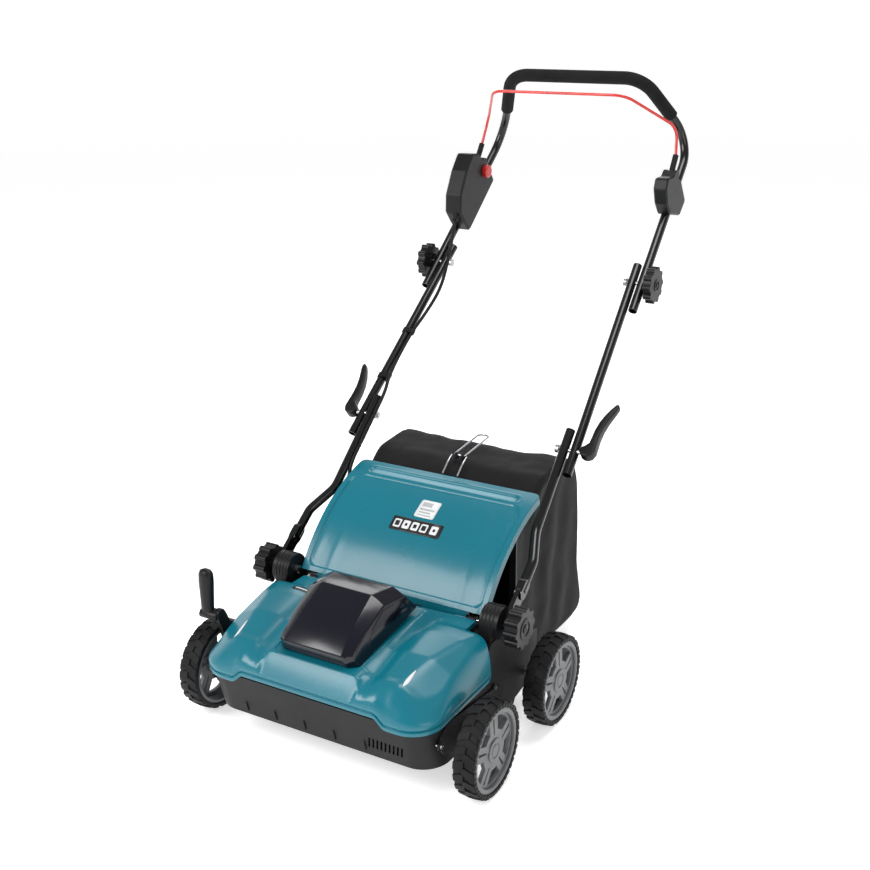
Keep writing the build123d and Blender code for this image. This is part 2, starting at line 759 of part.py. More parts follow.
cable_routes = {
    "cable_upper": [cable_start, (208, 771, 768), (196, 724, 712), (195, 692, 664),
                    (203, 646, 622), (211, 600, 590)],
    "cable_middle": [(211, 599, 589.2), (214, 560, 559), (212, 506, 517), (199, 470, 496),
                     (198, 425, 460), (203, 380, 412)],
    "cable_lower": [(203, 379, 411), (206, 352, 386), (206, 338, 350), (209, 316, 298),
                    (213, 284, 240), (218, 258, 202),
                    (-gland_x, gland_y, gland_z)],
}
cables = {}
for name, points in cable_routes.items():
    points = mirrored(points, -1)
    radii = arc_radii(points)
    print(name, "bend radii", [round(r) for r in radii])
    with BuildPart() as cable:
        tube_along(points, radii, cable_r)
    cables[name] = cable.part
    write(cable.part, name)

with BuildPart() as cable_clips:
    foot, head = mirrored(middle_route, -1)
    for station, cable_spot in ((602, (210.5, 602, 591.6)), (512, (212.2, 512, 521.6))):
        share = (station - middle_route[0][1]) / (middle_route[1][1] - middle_route[0][1])
        ring = Plane(origin=foot + (head - foot) * share, z_dir=head - foot)
        held = ring.to_local_coords(mirrored([cable_spot], -1)[0])
        with BuildSketch(ring):
            Circle(tube_r + 2)
            with Locations((held.X, held.Y)):
                Circle(cable_r + 2)
            make_hull()
            Circle(tube_r, mode=Mode.SUBTRACT)
        extrude(amount=5, both=True)
    add(cables["cable_upper"], mode=Mode.SUBTRACT)
    add(cables["cable_middle"], mode=Mode.SUBTRACT)
write(cable_clips.part, "cable_clips")

# ---- grass bag ----------------------------------------------------------
bag_half = 186
wire_y, wire_z, wire_r = 424, 409.6, 2.5   # pivot of the carrying wire
bag_outline = [(306, 58), (306, 336), (374, 364), (394, 384), (420, 404), (518, 411),
               (562, 384), (580, 340), (589, 250), (590, 154), (617, 62), (606, 42), (560, 33),
               (340, 40)]
with BuildPart() as grass_bag:
    with BuildSketch(side(-bag_half)) as outline:
        Polygon(*bag_outline, align=None)
        fillet(outline.vertices().sort_by(Axis.X)[2:], 6)
    extrude(amount=2 * bag_half)
    with BuildSketch(side(3 - bag_half)) as outline:
        Polygon(*bag_outline, align=None)
        offset(amount=-3)
    extrude(amount=2 * bag_half - 6, mode=Mode.SUBTRACT)
    # mouth towards the drum
    with BuildSketch(Plane(origin=at(0, 300, 0), x_dir=(1, 0, 0), z_dir=(0, 1, 0))):
        with Locations((0, -210)):
            Rectangle(344, 212)
    extrude(amount=20, mode=Mode.SUBTRACT)
    # stitched tabs that hold the carrying wire
    for x in (-9.5, 4.5):
        with BuildSketch(side(x)):
            with Locations((wire_y, wire_z)):
                Circle(wire_r + 2)
            Polygon((wire_y - 4.5, wire_z), (wire_y + 4.5, wire_z), (wire_y + 5, 403),
                    (wire_y - 5, 403), align=None)
            with Locations((wire_y, wire_z)):
                Circle(wire_r + running_gap, mode=Mode.SUBTRACT)
        extrude(amount=5)
write(grass_bag.part, "grass_bag")

with BuildPart() as bag_frame:
    with BuildSketch(Plane(origin=at(0, 301.5, 0), x_dir=(1, 0, 0), z_dir=(0, 1, 0))):
        with Locations((0, -204)):
            RectangleRounded(2 * bag_half, 264, 14)
        with Locations((0, -210)):
            RectangleRounded(344, 212, 8, mode=Mode.SUBTRACT)
    extrude(amount=4.5)
write(bag_frame.part, "bag_frame")

with BuildPart() as bag_handle:
    with BuildLine() as loop:
        FilletPolyline(*both_hands([(16, wire_y, wire_z), (16, 520, 416.4)]), radius=5.5, close=True)
    with BuildSketch(Plane(origin=loop.line @ 0, z_dir=loop.line % 0)):
        Circle(wire_r)
    sweep(path=loop.line)
write(bag_handle.part, "bag_handle")
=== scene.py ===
from math import acos, atan2, cos, exp, hypot, pi, radians, sin, sqrt

import bmesh
import bpy
from mathutils import Matrix, Vector, noise


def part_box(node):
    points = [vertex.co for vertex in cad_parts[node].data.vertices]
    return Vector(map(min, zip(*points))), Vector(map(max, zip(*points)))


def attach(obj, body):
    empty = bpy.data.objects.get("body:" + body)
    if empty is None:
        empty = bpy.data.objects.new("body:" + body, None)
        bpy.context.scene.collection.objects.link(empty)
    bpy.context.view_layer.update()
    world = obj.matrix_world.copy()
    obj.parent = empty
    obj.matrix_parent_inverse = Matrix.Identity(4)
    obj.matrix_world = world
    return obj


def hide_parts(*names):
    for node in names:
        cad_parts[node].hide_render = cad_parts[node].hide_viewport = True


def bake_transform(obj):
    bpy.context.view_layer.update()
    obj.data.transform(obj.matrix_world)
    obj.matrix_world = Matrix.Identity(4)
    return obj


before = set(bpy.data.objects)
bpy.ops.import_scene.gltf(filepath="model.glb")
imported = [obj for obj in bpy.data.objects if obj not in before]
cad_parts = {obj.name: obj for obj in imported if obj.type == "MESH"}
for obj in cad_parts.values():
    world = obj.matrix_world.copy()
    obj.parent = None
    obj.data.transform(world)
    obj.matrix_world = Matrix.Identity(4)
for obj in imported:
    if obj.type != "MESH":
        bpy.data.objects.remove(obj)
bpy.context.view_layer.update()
print("frame loaded:", len(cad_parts), "nodes")

mm = 0.001
wheelLow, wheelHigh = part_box("tyre_front_left")
axleY = (wheelLow[1] + wheelHigh[1]) / 2      # stations are counted rearward from the front axle


def place(x, station, z):
    return Vector((x * mm, axleY + station * mm, z * mm))


def smooth(low, high, value):
    t = min(max((value - low) / (high - low), 0.0), 1.0)
    return t * t * (3 - 2 * t)


def between(stops, value):
    # straight-line reading of a list of (place, amount)
    if value <= stops[0][0]:
        return stops[0][1]
    for (a, u), (b, v) in zip(stops[:-1], stops[1:]):
        if value <= b:
            return u + (v - u) * (value - a) / (b - a)
    return stops[-1][1]


# finishes: what a user would change first
finishes = {
    "tealPlastic": dict(colour=(0.003, 0.150, 0.205), shade=0.92, rough=0.28, spread=0.05,
                        grain=900, bump=0.010, coat=0.12, speckle=5, shine=0.38),
    "navyPlastic": dict(colour=(0.002, 0.0025, 0.008), shade=0.8, rough=0.17, spread=0.05,
                        grain=800, bump=0.008, coat=0.3, speckle=6, shine=0.35),
    "housingPlastic": dict(colour=(0.010, 0.010, 0.011), shade=0.75, rough=0.50, spread=0.10,
                           grain=1500, bump=0.10, coat=0.0, speckle=10, shine=0.22),
    "trimPlastic": dict(colour=(0.006, 0.006, 0.007), shade=0.75, rough=0.40, spread=0.10,
                        grain=1300, bump=0.06, coat=0.0, speckle=16, shine=0.26),
    "tyreRubber": dict(colour=(0.007, 0.007, 0.008), shade=0.6, rough=0.58, spread=0.14,
                       grain=1100, bump=0.12, coat=0.0, speckle=22, shine=0.22),
    "rimPlastic": dict(colour=(0.135, 0.139, 0.146), shade=0.85, rough=0.40, spread=0.10,
                       grain=1200, bump=0.05, coat=0.0, speckle=20, shine=0.35),
    "blackTube": dict(colour=(0.003, 0.003, 0.0035), shade=0.8, rough=0.22, spread=0.06,
                      grain=500, bump=0.010, coat=0.3, speckle=9, shine=0.35),
    "gripFoam": dict(colour=(0.008, 0.008, 0.009), shade=0.6, rough=0.8, spread=0.08,
                     grain=2200, bump=0.30, coat=0.0, speckle=30, shine=0.2),
    "knobPlastic": dict(colour=(0.006, 0.006, 0.007), shade=0.75, rough=0.36, spread=0.10,
                        grain=1300, bump=0.05, coat=0.0, speckle=20, shine=0.26),
    "redPaint": dict(colour=(0.60, 0.012, 0.006), shade=0.8, rough=0.25, spread=0.08,
                     grain=600, bump=0.01, coat=0.5, speckle=12),
    "redPlastic": dict(colour=(0.50, 0.012, 0.010), shade=0.8, rough=0.30, spread=0.08,
                       grain=900, bump=0.02, coat=0.3, speckle=15),
    "brightSteel": dict(colour=(0.50, 0.51, 0.53), shade=0.8, rough=0.28, spread=0.14,
                        grain=700, bump=0.03, coat=0.0, speckle=25, metal=1.0),
    "bladeSteel": dict(colour=(0.36, 0.36, 0.37), shade=0.7, rough=0.38, spread=0.16,
                       grain=500, bump=0.05, coat=0.0, speckle=25, metal=1.0),
    "cableRubber": dict(colour=(0.005, 0.005, 0.006), shade=0.7, rough=0.45, spread=0.1,
                        grain=1500, bump=0.05, coat=0.0, speckle=30, shine=0.25),
    # white used for real print and also for the painted shoulder highlights
    "whitePrint": dict(colour=(0.72, 0.73, 0.74), shade=0.93, rough=0.45, spread=0.06,
                       grain=600, bump=0.01, coat=0.0, speckle=40),
    "blackPrint": dict(colour=(0.010, 0.010, 0.011), shade=0.8, rough=0.35, spread=0.06,
                       grain=600, bump=0.01, coat=0.0, speckle=40),
    # painted highlight colour for the strip in the lid's grip channel
    "paintedHighlightTeal": dict(colour=(0.16, 0.34, 0.41), shade=0.9, rough=0.30, spread=0.06,
                     grain=900, bump=0.01, coat=0.1, speckle=8, shine=0.4),
    "greyLabel": dict(colour=(0.42, 0.43, 0.44), shade=0.88, rough=0.42, spread=0.06,
                      grain=600, bump=0.01, coat=0.0, speckle=30),
}


def makeFinish(name, look):
    # mottled colour, uneven gloss and a fine moulded grain, all from object coordinates
    made = bpy.data.materials.new(name)
    made.use_nodes = True
    tree = made.node_tree
    shader = tree.nodes["Principled BSDF"]
    coords = tree.nodes.new("ShaderNodeTexCoord")

    def noise(scale, detail):
        node = tree.nodes.new("ShaderNodeTexNoise")
        node.inputs["Scale"].default_value = scale
        node.inputs["Detail"].default_value = detail
        tree.links.new(coords.outputs["Object"], node.inputs["Vector"])
        return node.outputs["Fac"]

    mottle = tree.nodes.new("ShaderNodeValToRGB")
    dark = tuple(part * look["shade"] for part in look["colour"])
    mottle.color_ramp.elements[0].position = 0.32
    mottle.color_ramp.elements[0].color = (*dark, 1)
    mottle.color_ramp.elements[1].position = 0.62
    mottle.color_ramp.elements[1].color = (*look["colour"], 1)
    tree.links.new(noise(look["speckle"], 5), mottle.inputs["Fac"])
    tree.links.new(mottle.outputs["Color"], shader.inputs["Base Color"])
    gloss = tree.nodes.new("ShaderNodeMapRange")
    gloss.inputs["To Min"].default_value = max(look["rough"] - look["spread"] / 2, 0.04)
    gloss.inputs["To Max"].default_value = look["rough"] + look["spread"] / 2
    tree.links.new(noise(look["speckle"] * 3.1, 6), gloss.inputs["Value"])
    tree.links.new(gloss.outputs["Result"], shader.inputs["Roughness"])
    bump = tree.nodes.new("ShaderNodeBump")
    bump.inputs["Strength"].default_value = look["bump"]
    bump.inputs["Distance"].default_value = 0.0006
    tree.links.new(noise(look["grain"], 2), bump.inputs["Height"])
    tree.links.new(bump.outputs["Normal"], shader.inputs["Normal"])
    shader.inputs["Metallic"].default_value = look.get("metal", 0.0)
    shader.inputs["Specular IOR Level"].default_value = look.get("shine", 0.5)
    shader.inputs["Coat Weight"].default_value = look["coat"]
    shader.inputs["Coat Roughness"].default_value = 0.12
    return made


finish = {name: makeFinish(name, look) for name, look in finishes.items()}


def makeBagCloth():
    # tight plain weave with a faint sheen, its dark tone clouded at random
    made = bpy.data.materials.new("bagCloth")
    made.use_nodes = True
    tree = made.node_tree
    shader = tree.nodes["Principled BSDF"]
    coords = tree.nodes.new("ShaderNodeTexCoord")
    heights = []
    for axis in ("X", "Z"):
        wave = tree.nodes.new("ShaderNodeTexWave")
        wave.bands_direction = axis
        wave.inputs["Scale"].default_value = 260
        wave.inputs["Distortion"].default_value = 0.6
        tree.links.new(coords.outputs["Object"], wave.inputs["Vector"])
        heights.append(wave.outputs["Fac"])
    weave = tree.nodes.new("ShaderNodeMath")
    weave.operation = "MULTIPLY"
    tree.links.new(heights[0], weave.inputs[0])
    tree.links.new(heights[1], weave.inputs[1])
    bump = tree.nodes.new("ShaderNodeBump")
    bump.inputs["Strength"].default_value = 0.35
    bump.inputs["Distance"].default_value = 0.0006
    tree.links.new(weave.outputs[0], bump.inputs["Height"])
    tree.links.new(bump.outputs["Normal"], shader.inputs["Normal"])
    cloud = tree.nodes.new("ShaderNodeTexNoise")
    cloud.inputs["Scale"].default_value = 11
    cloud.inputs["Detail"].default_value = 6
    tree.links.new(coords.outputs["Object"], cloud.inputs["Vector"])
    tone = tree.nodes.new("ShaderNodeValToRGB")
    tone.color_ramp.elements[0].position = 0.35
    tone.color_ramp.elements[0].color = (0.003, 0.003, 0.0035, 1)
    tone.color_ramp.elements[1].position = 0.7
    tone.color_ramp.elements[1].color = (0.0065, 0.0065, 0.0075, 1)
    tree.links.new(cloud.outputs["Fac"], tone.inputs["Fac"])
    tree.links.new(tone.outputs["Color"], shader.inputs["Base Color"])
    shader.inputs["Roughness"].default_value = 0.72
    shader.inputs["Sheen Weight"].default_value = 0.04
    shader.inputs["Specular IOR Level"].default_value = 0.2
    return made


finish["bagCloth"] = makeBagCloth()

nodeFinish = {
    "housingPlastic": ["base_housing", "belt_cover", "bearing_cover"],
    "trimPlastic": ["handle_boss_left", "handle_boss_right", "cover_hinge", "battery_tray", "battery_packs",
                    "drum_spacers", "depth_lever", "switch_case", "switch_cover", "bail_bracket",
                    "bail_ends", "cable_clips", "bag_frame"],
    "brightSteel": ["cover_screws", "tilt_bolts", "lid_hinge_pin", "rear_axle", "motor", "motor_pulley",
                    "drum_pulley", "drum_shaft", "drum_bearings", "front_axle", "fold_bolts", "upper_bolts"],
    "bladeSteel": ["drum_blades"],
    "tealPlastic": ["hood", "lid"],
    "navyPlastic": ["battery_cover"],
    "blackTube": ["lower_tube_left", "lower_tube_right", "middle_tube_left", "middle_tube_right",
                  "upper_handle", "bag_handle"],
    "gripFoam": ["foam_grip"],
    "knobPlastic": ["tilt_knob_left", "tilt_knob_right", "upper_knob_left", "upper_knob_right",
                    "cam_lever_left", "cam_lever_right"],
    "redPlastic": ["stop_button"],
    "redPaint": ["bail_lever"],
    "cableRubber": ["cable_upper", "cable_middle", "cable_lower", "drive_belt"],
    "bagCloth": ["grass_bag"],
    "tyreRubber": [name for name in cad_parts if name.startswith("tyre_")],
    "rimPlastic": [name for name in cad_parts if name.startswith("rim_")],
}
for look, names in nodeFinish.items():
    for name in names:
        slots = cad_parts[name].data.materials
        for i in range(len(slots)):
            slots[i] = finish[look]
        if not len(slots):
            slots.append(finish[look])
print("finishes ready:", len(finish))


# making pieces
def newObject(name, mesh):
    made = bpy.data.objects.new(name, mesh)
    bpy.context.scene.collection.objects.link(made)
    return made


def outward(mesh, weld=0):
    # welds near points and turns every face outward
    work = bmesh.new()
    work.from_mesh(mesh)
    if weld:
        bmesh.ops.remove_doubles(work, verts=work.verts, dist=weld)
    bmesh.ops.recalc_face_normals(work, faces=work.faces)
    work.to_mesh(mesh)
    work.free()


def faceUp(piece):
    if sum(face.normal.z * face.area for face in piece.data.polygons) < 0:
        piece.data.flip_normals()
    return piece


def meshFrom(name, points, faces, look, flat=False):
    # points in metres; faces as index lists
    mesh = bpy.data.meshes.new(name)
    mesh.from_pydata([tuple(p) for p in points], [], faces)
    outward(mesh, 1e-6)
    for face in mesh.polygons:
        face.use_smooth = not flat
    mesh.materials.append(finish[look])
    return newObject(name, mesh)


def grid(rows, closed=False):
    # rows of points of equal length joined into quads
    width = len(rows[0])
    points = [p for row in rows for p in row]
    last = width if closed else width - 1
    faces = [(r * width + c, r * width + (c + 1) % width, (r + 1) * width + (c + 1) % width,
              (r + 1) * width + c) for r in range(len(rows) - 1) for c in range(last)]
    return points, faces


def freeze(piece):
    # bake every modifier of a piece into a plain mesh
    graph = bpy.context.evaluated_depsgraph_get()
    graph.update()
    mesh = bpy.data.meshes.new_from_object(piece.evaluated_get(graph))
    piece.modifiers.clear()
    piece.data = mesh
    return piece


def thicken(piece, wall, side=-1.0):
    solid = piece.modifiers.new("wall", "SOLIDIFY")
    solid.thickness = wall * mm
    solid.offset = side
    return freeze(piece)


def rounded(piece, width, steps=3, angle=30):
    soft = piece.modifiers.new("edges", "BEVEL")
    soft.width = width * mm
    soft.segments = steps
    soft.limit_method = "ANGLE"
    soft.angle_limit = radians(angle)
    soft.harden_normals = True
    return freeze(piece)


def joined(name, pieces):
    # several meshes with one finish become one piece
    points, faces, materials = [], [], []
    for piece in pieces:
        start = len(points)
        points += [v.co.copy() for v in piece.data.vertices]
        faces += [[start + i for i in face.vertices] for face in piece.data.polygons]
        materials = materials or list(piece.data.materials)
        bpy.data.objects.remove(piece)
    mesh = bpy.data.meshes.new(name)
    mesh.from_pydata(points, [], faces)
    for face in mesh.polygons:
        face.use_smooth = True
    mesh.materials.append(materials[0])
    return newObject(name, mesh)


def crisp(piece, angle=32):
    # flat where faces meet sharply, smooth elsewhere
    piece.data.set_sharp_from_angle(angle=radians(angle))
    return piece


def tubePoints(path, radius, sides=12):
    # rings of points round a path of vectors
    rings = []
    side = None
    for i, here in enumerate(path):
        ahead = (path[min(i + 1, len(path) - 1)] - path[max(i - 1, 0)]).normalized()
        if side is None:
            side = ahead.orthogonal().normalized()
        side = (side - ahead * side.dot(ahead)).normalized()
        other = ahead.cross(side)
        size = radius(i) if callable(radius) else radius
        rings.append([here + (side * cos(2 * pi * k / sides) + other * sin(2 * pi * k / sides)) * size * mm
                      for k in range(sides)])
    return rings


def tube(name, path, radius, look, sides=12):
    rings = tubePoints(path, radius, sides)
    points, faces = grid(rings, closed=True)
    count = len(points)
    points += [path[0], path[-1]]
    faces += [(count, (k + 1) % sides, k) for k in range(sides)]
    base = count - sides
    faces += [(count + 1, base + k, base + (k + 1) % sides) for k in range(sides)]
    return meshFrom(name, points, faces, look)


def lathe(name, outline, centre, look, steps=64, sign=1):
    # outline of (distance along X from the centre, radius) turned about X; a closed ring
    rows = []
    for along, radius in outline:
        rows.append([centre + Vector((sign * along * mm, cos(2 * pi * k / steps) * radius * mm,
                                      sin(2 * pi * k / steps) * radius * mm)) for k in range(steps)])
    points, faces = grid(rows, closed=True)
    return meshFrom(name, points, faces, look)


def slabFaces(count):
    # faces of a flat block whose points are one outline and then its twin
    faces = [tuple(range(count)), tuple(range(count, 2 * count))]
    return faces + [(k, (k + 1) % count, count + (k + 1) % count, count + k) for k in range(count)]


def prism(name, outline, x0, x1, look, bevel=0.0):
    # flat outline of (station, z) given thickness along X
    count = len(outline)
    points = [place(x, y, z) for x in (x0, x1) for y, z in outline]
    made = meshFrom(name, points, slabFaces(count), look, flat=True)
    return rounded(made, bevel, 2, 40) if bevel else made


def curveMesh(curve, look):
    soft = bpy.data.objects.new(curve.name, curve)
    bpy.context.scene.collection.objects.link(soft)
    graph = bpy.context.evaluated_depsgraph_get()
    graph.update()
    mesh = bpy.data.meshes.new_from_object(soft.evaluated_get(graph))
    bpy.data.objects.remove(soft)
    mesh.materials.clear()
    mesh.materials.append(finish[look])
    return mesh


def bentTube(name, route, radius, look):
    curve = bpy.data.curves.new(name, "CURVE")
    curve.dimensions = "3D"
    line = curve.splines.new("NURBS")
    line.points.add(len(route) - 1)
    for point, spot in zip(line.points, route):
        point.co = (*place(*spot), 1)
    line.order_u = 3
    line.use_endpoint_u = True
    line.resolution_u = 10
    curve.bevel_depth = radius * mm
    curve.bevel_resolution = 3
    curve.use_fill_caps = True
    mesh = curveMesh(curve, look)
    outward(mesh)
    return newObject(name, mesh)


# camera and studio
view = dict(place=(1116.1, -1568.2, 1279.8), turn=30.46, climb=19.93, roll=-0.67, lens=51.80)


def setCamera():
    a, e, r = (radians(view[k]) for k in ("turn", "climb", "roll"))
    back = Vector((sin(a) * cos(e), -cos(a) * cos(e), sin(e)))
    level = Vector((cos(a), sin(a), 0))
    upright = back.cross(level)
    right = level * cos(r) + upright * sin(r)
    up = upright * cos(r) - level * sin(r)
    data = bpy.data.cameras.new("camera")
    data.lens = view["lens"]
    data.sensor_width = 36
    data.clip_end = 60
    camera = bpy.data.objects.new("camera", data)
    turn = Matrix((right, up, back)).transposed().to_4x4()
    camera.matrix_world = Matrix.Translation(place(*view["place"])) @ turn
    bpy.context.scene.collection.objects.link(camera)
    bpy.context.scene.camera = camera


studio = {
    "keyLight": dict(spot=(-1.7, -2.9, 2.7), aim=(0, -0.2, 0.3), size=1.7, power=88),
    "fillLight": dict(spot=(3.2, -1.4, 2.0), aim=(0, 0, 0.3), size=1.6, power=24),
    "rimLight": dict(spot=(-1.4, 2.8, 2.6), aim=(0, 0, 0.5), size=2.0, power=34),
    "topLight": dict(spot=(0.5, 0.3, 3.6), aim=(0, 0, 0), size=1.6, power=54),
}
backdrop = dict(flat=11.0, curve=4.0, glow=0.56, world=0.35)


def setStudio():
    for name, lamp in studio.items():
        data = bpy.data.lights.new(name, "AREA")
        data.size = lamp["size"]
        data.energy = lamp["power"]
        light = bpy.data.objects.new(name, data)
        light.location = lamp["spot"]
        light.rotation_euler = (Vector(lamp["aim"]) - light.location).to_track_quat("-Z", "Y").to_euler()
        bpy.context.scene.collection.objects.link(light)
    world = bpy.data.worlds.new("studio")
    bpy.context.scene.world = world
    world.use_nodes = True
    world.node_tree.nodes["Background"].inputs["Color"].default_value = (1, 1, 1, 1)
    world.node_tree.nodes["Background"].inputs["Strength"].default_value = backdrop["world"]
    # white dish: flat floor that curves up far away on every side
    rows = []
    outline = [(0.01, 0), (3, 0), (backdrop["flat"], 0)]
    outline += [(backdrop["flat"] + backdrop["curve"] * sin(a * pi / 24),
                 backdrop["curve"] * (1 - cos(a * pi / 24))) for a in range(1, 13)]
    for reach, high in outline:
        rows.append([Vector((reach * cos(k * pi / 48), reach * sin(k * pi / 48), high)) for k in range(96)])
    points, faces = grid(rows, closed=True)
    points.append(Vector((0, 0, 0)))
    faces += [(len(points) - 1, k, (k + 1) % 96) for k in range(96)]
    mesh = bpy.data.meshes.new("floor")
    mesh.from_pydata([tuple(p) for p in points], [], faces)
    for face in mesh.polygons:
        face.use_smooth = True
    floor = newObject("floor", mesh)
    paper = bpy.data.materials.new("paper")
    paper.use_nodes = True
    shader = paper.node_tree.nodes["Principled BSDF"]
    shader.inputs["Base Color"].default_value = (0.9, 0.9, 0.9, 1)
    shader.inputs["Roughness"].default_value = 0.9
    shader.inputs["Specular IOR Level"].default_value = 0.1
    shader.inputs["Emission Color"].default_value = (1, 1, 1, 1)
    shader.inputs["Emission Strength"].default_value = backdrop["glow"]
    mesh.materials.append(paper)
    bpy.context.scene.view_settings.view_transform = "Standard"


setCamera()
setStudio()
print("camera and studio set")


# hood: teal moulding over the front, open round the battery
hood = dict(half=237.0, nose=-112.0, corner=58.0, lipMiddle=155.0, lipSide=138.5, wave=(134.0, 158.0),
            rear=108.0, bridgeHalf=185.0, bridgeRear=149.0, wall=2.4, pitch=4.0, rows=34,
            spine=[(-112, 203), (-60, 209), (0, 223), (70, 229), (100, 228), (114, 224), (150, 223)],
            creaseRear=212.0, creaseFall=0.26, slope=0.55, valley=5.5, bezel=9.0, turn=17.0,
            panelHalf=95.0, panelReach=26.0, noseReach=52.0, sideReach=16.0)
batteryMouth = dict(half=73.0, front=-60.0, rear=84.0, corner=8.0)


def coverHalf(station):
    # half-width of the battery cover where it meets the hood
    return 78.5 + (station + 76) * 19 / 174


def lipHeight(x):
    low, high = hood["wave"]
    return hood["lipMiddle"] - (hood["lipMiddle"] - hood["lipSide"]) * smooth(low, high, abs(x))


def rimDistance(x, station):
    # how far inside the hood's outline a spot lies, its open rear left out
    across = abs(x)
    turnX, turnY = hood["half"] - hood["corner"], hood["nose"] + hood["corner"]
    if across > turnX and station < turnY:
        return max(hood["corner"] - hypot(across - turnX, station - turnY), 0.0)
    return max(min(hood["half"] - across, station - hood["nose"]), 0.0)


def softMax(a, b, blend):
    gap = max(blend - abs(a - b), 0.0) / blend
    return max(a, b) + gap * gap * blend / 4


def hoodHeight(x, station):
    across = abs(x)
    edge = coverHalf(station) + hood["bezel"]
    crease = hood["creaseRear"] - (108 - station) * hood["creaseFall"]
    beyond = across - crease
    shoulder = between(hood["spine"], station)
    groove = edge + 12 + 12 * (1 - smooth(-80, 60, station))
    shoulder -= hood["valley"] * exp(-((across - groove) / 13) ** 2) * (1 - smooth(96, 112, station))
    shoulder -= hood["slope"] * (beyond + hypot(beyond, 5)) / 2
    shoulder += 2.5 * exp(-((across - 158) / 34) ** 2) * smooth(-100, 20, station)
    outside = max(across - edge, -87 - station, station - 112, 0.0)
    plateau = 206.5 + (station + 84) * 0.1907 - 1.25 * outside
    top = softMax(shoulder, plateau, 5.0)
    inside = rimDistance(x, station)
    reach = hood["noseReach"] + (hood["sideReach"] - hood["noseReach"]) * smooth(-95, -30, station)
    base = lipHeight(x) + hood["turn"]
    hump = base + (top - base) * sqrt(1 - (1 - min(inside / reach, 1)) ** 2)
    flat = base + (top - base) * (1 - (1 - min(inside / hood["panelReach"], 1)) ** 1.25)
    return hump + (flat - hump) * (1 - smooth(hood["panelHalf"] - 1, hood["panelHalf"] + 5, across))


def loopPair():
    # matching spots on the hood's outline and on the battery mouth, right half, front to rear
    half, nose, corner = hood["half"], hood["nose"], hood["corner"]
    mouth = batteryMouth
    step = hood["pitch"]
    pairs = []

    def run(outerA, outerB, innerA, innerB, count):
        for k in range(count):
            t = k / count
            pairs.append((Vector(outerA).lerp(Vector(outerB), t), Vector(innerA).lerp(Vector(innerB), t)))

    bend = mouth["half"] - mouth["corner"]
    run((0, nose), (half - corner, nose), (0, mouth["front"]), (bend, mouth["front"]),
        int((half - corner) / step))
    for k in range(20):
        a = pi / 2 * k / 20
        outer = Vector((half - corner + corner * sin(a), nose + corner - corner * cos(a)))
        inner = Vector((bend + mouth["corner"] * sin(a), mouth["front"] + mouth["corner"] * (1 - cos(a))))
        pairs.append((outer, inner))
    front = mouth["front"] + mouth["corner"]
    run((half, nose + corner), (half, hood["rear"]), (mouth["half"], front), (mouth["half"], 60), 40)
    run((half, hood["rear"]), (hood["bridgeHalf"], hood["rear"]), (mouth["half"], 60),
        (mouth["half"], 70), 12)
    run((hood["bridgeHalf"], hood["rear"]), (hood["bridgeHalf"], hood["bridgeRear"]), (mouth["half"], 70),
        (mouth["half"], mouth["rear"]), 8)
    run((hood["bridgeHalf"], hood["bridgeRear"]), (0, hood["bridgeRear"]), (mouth["half"], mouth["rear"]),
        (0, mouth["rear"]), 40)
    pairs.append((Vector((0, hood["bridgeRear"])), Vector((0, mouth["rear"]))))
    return pairs


def inward(spot):
    centre = Vector((max(min(spot.x, 179), -179), max(spot.y, hood["nose"] + hood["corner"])))
    return (centre - spot).normalized() if (centre - spot).length > 1e-6 else Vector((0, 1))


def makeHood():
    right = loopPair()
    left = [(Vector((-a.x, a.y)), Vector((-b.x, b.y))) for a, b in right[1:-1]][::-1]
    pairs = right + left
    rows = []
    # tucked-in lower edge with a stepped band, then the belly line
    for tuck, share in ((2.6, 0.0), (1.0, 0.12), (0.8, 0.42), (3.2, 0.50), (1.6, 0.70), (0.4, 0.9)):
        row = []
        for outer, inner in pairs:
            if outer.y < hood["rear"] - 1:
                spot = outer + inward(outer) * tuck
                height = lipHeight(outer.x) + hood["turn"] * share
            else:
                spot = outer
                height = hoodHeight(outer.x, outer.y) - 9 * (1 - share)
            row.append(place(spot.x, spot.y, height))
        rows.append(row)
    for k in range(hood["rows"] + 1):
        t = (k / hood["rows"]) ** 1.35
        row = []
        for outer, inner in pairs:
            spot = outer.lerp(inner, t)
            row.append(place(spot.x, spot.y, hoodHeight(spot.x, spot.y)))
        rows.append(row)
    rows.append([place(b.x, b.y, hoodHeight(b.x, b.y) - 7) for a, b in pairs])
    points, faces = grid(rows, closed=True)
    shell = meshFrom("hoodShell", points, faces, "tealPlastic")
    thicken(shell, hood["wall"])
    order = [a for a, b in right if a.y < hood["rear"] - 1]
    mirror = [Vector((-a.x, a.y)) for a in order[1:]][::-1]
    path = []
    for a in mirror + order:
        spot = a + inward(a) * 3.4
        path.append(place(spot.x, spot.y, lipHeight(a.x) + 1.6))
    bead = tube("bead", path, 2.1, "tealPlastic", 8)
    # fine raised line round the battery cover's seat
    seat = [(coverHalf(y) + 5.0, y) for y in range(-78, 97, 6)]
    ring = [Vector((x, y)) for x, y in seat][::-1] + [Vector((x, -86)) for x in range(76, -77, -8)]
    ring += [Vector((-x, y)) for x, y in seat]
    path = [place(v.x, v.y, hoodHeight(v.x, v.y) + 0.2) for v in ring]
    line = tube("seatLine", path, 1.1, "tealPlastic", 6)
    piece = crisp(joined("hoodShell", [shell, bead, line]), 40)
    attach(piece, "chassis")
    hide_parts("hood")


makeHood()
print("hood made")

# slim pale teardrops on the two shoulders: painted highlight, white pieces in place of light glinting off the
# shoulder edges
shoulderHighlights = dict(left=((-178, -71), (-181, -29)), right=((170, -71), (172, -33)), width=3.6, lift=0.35)


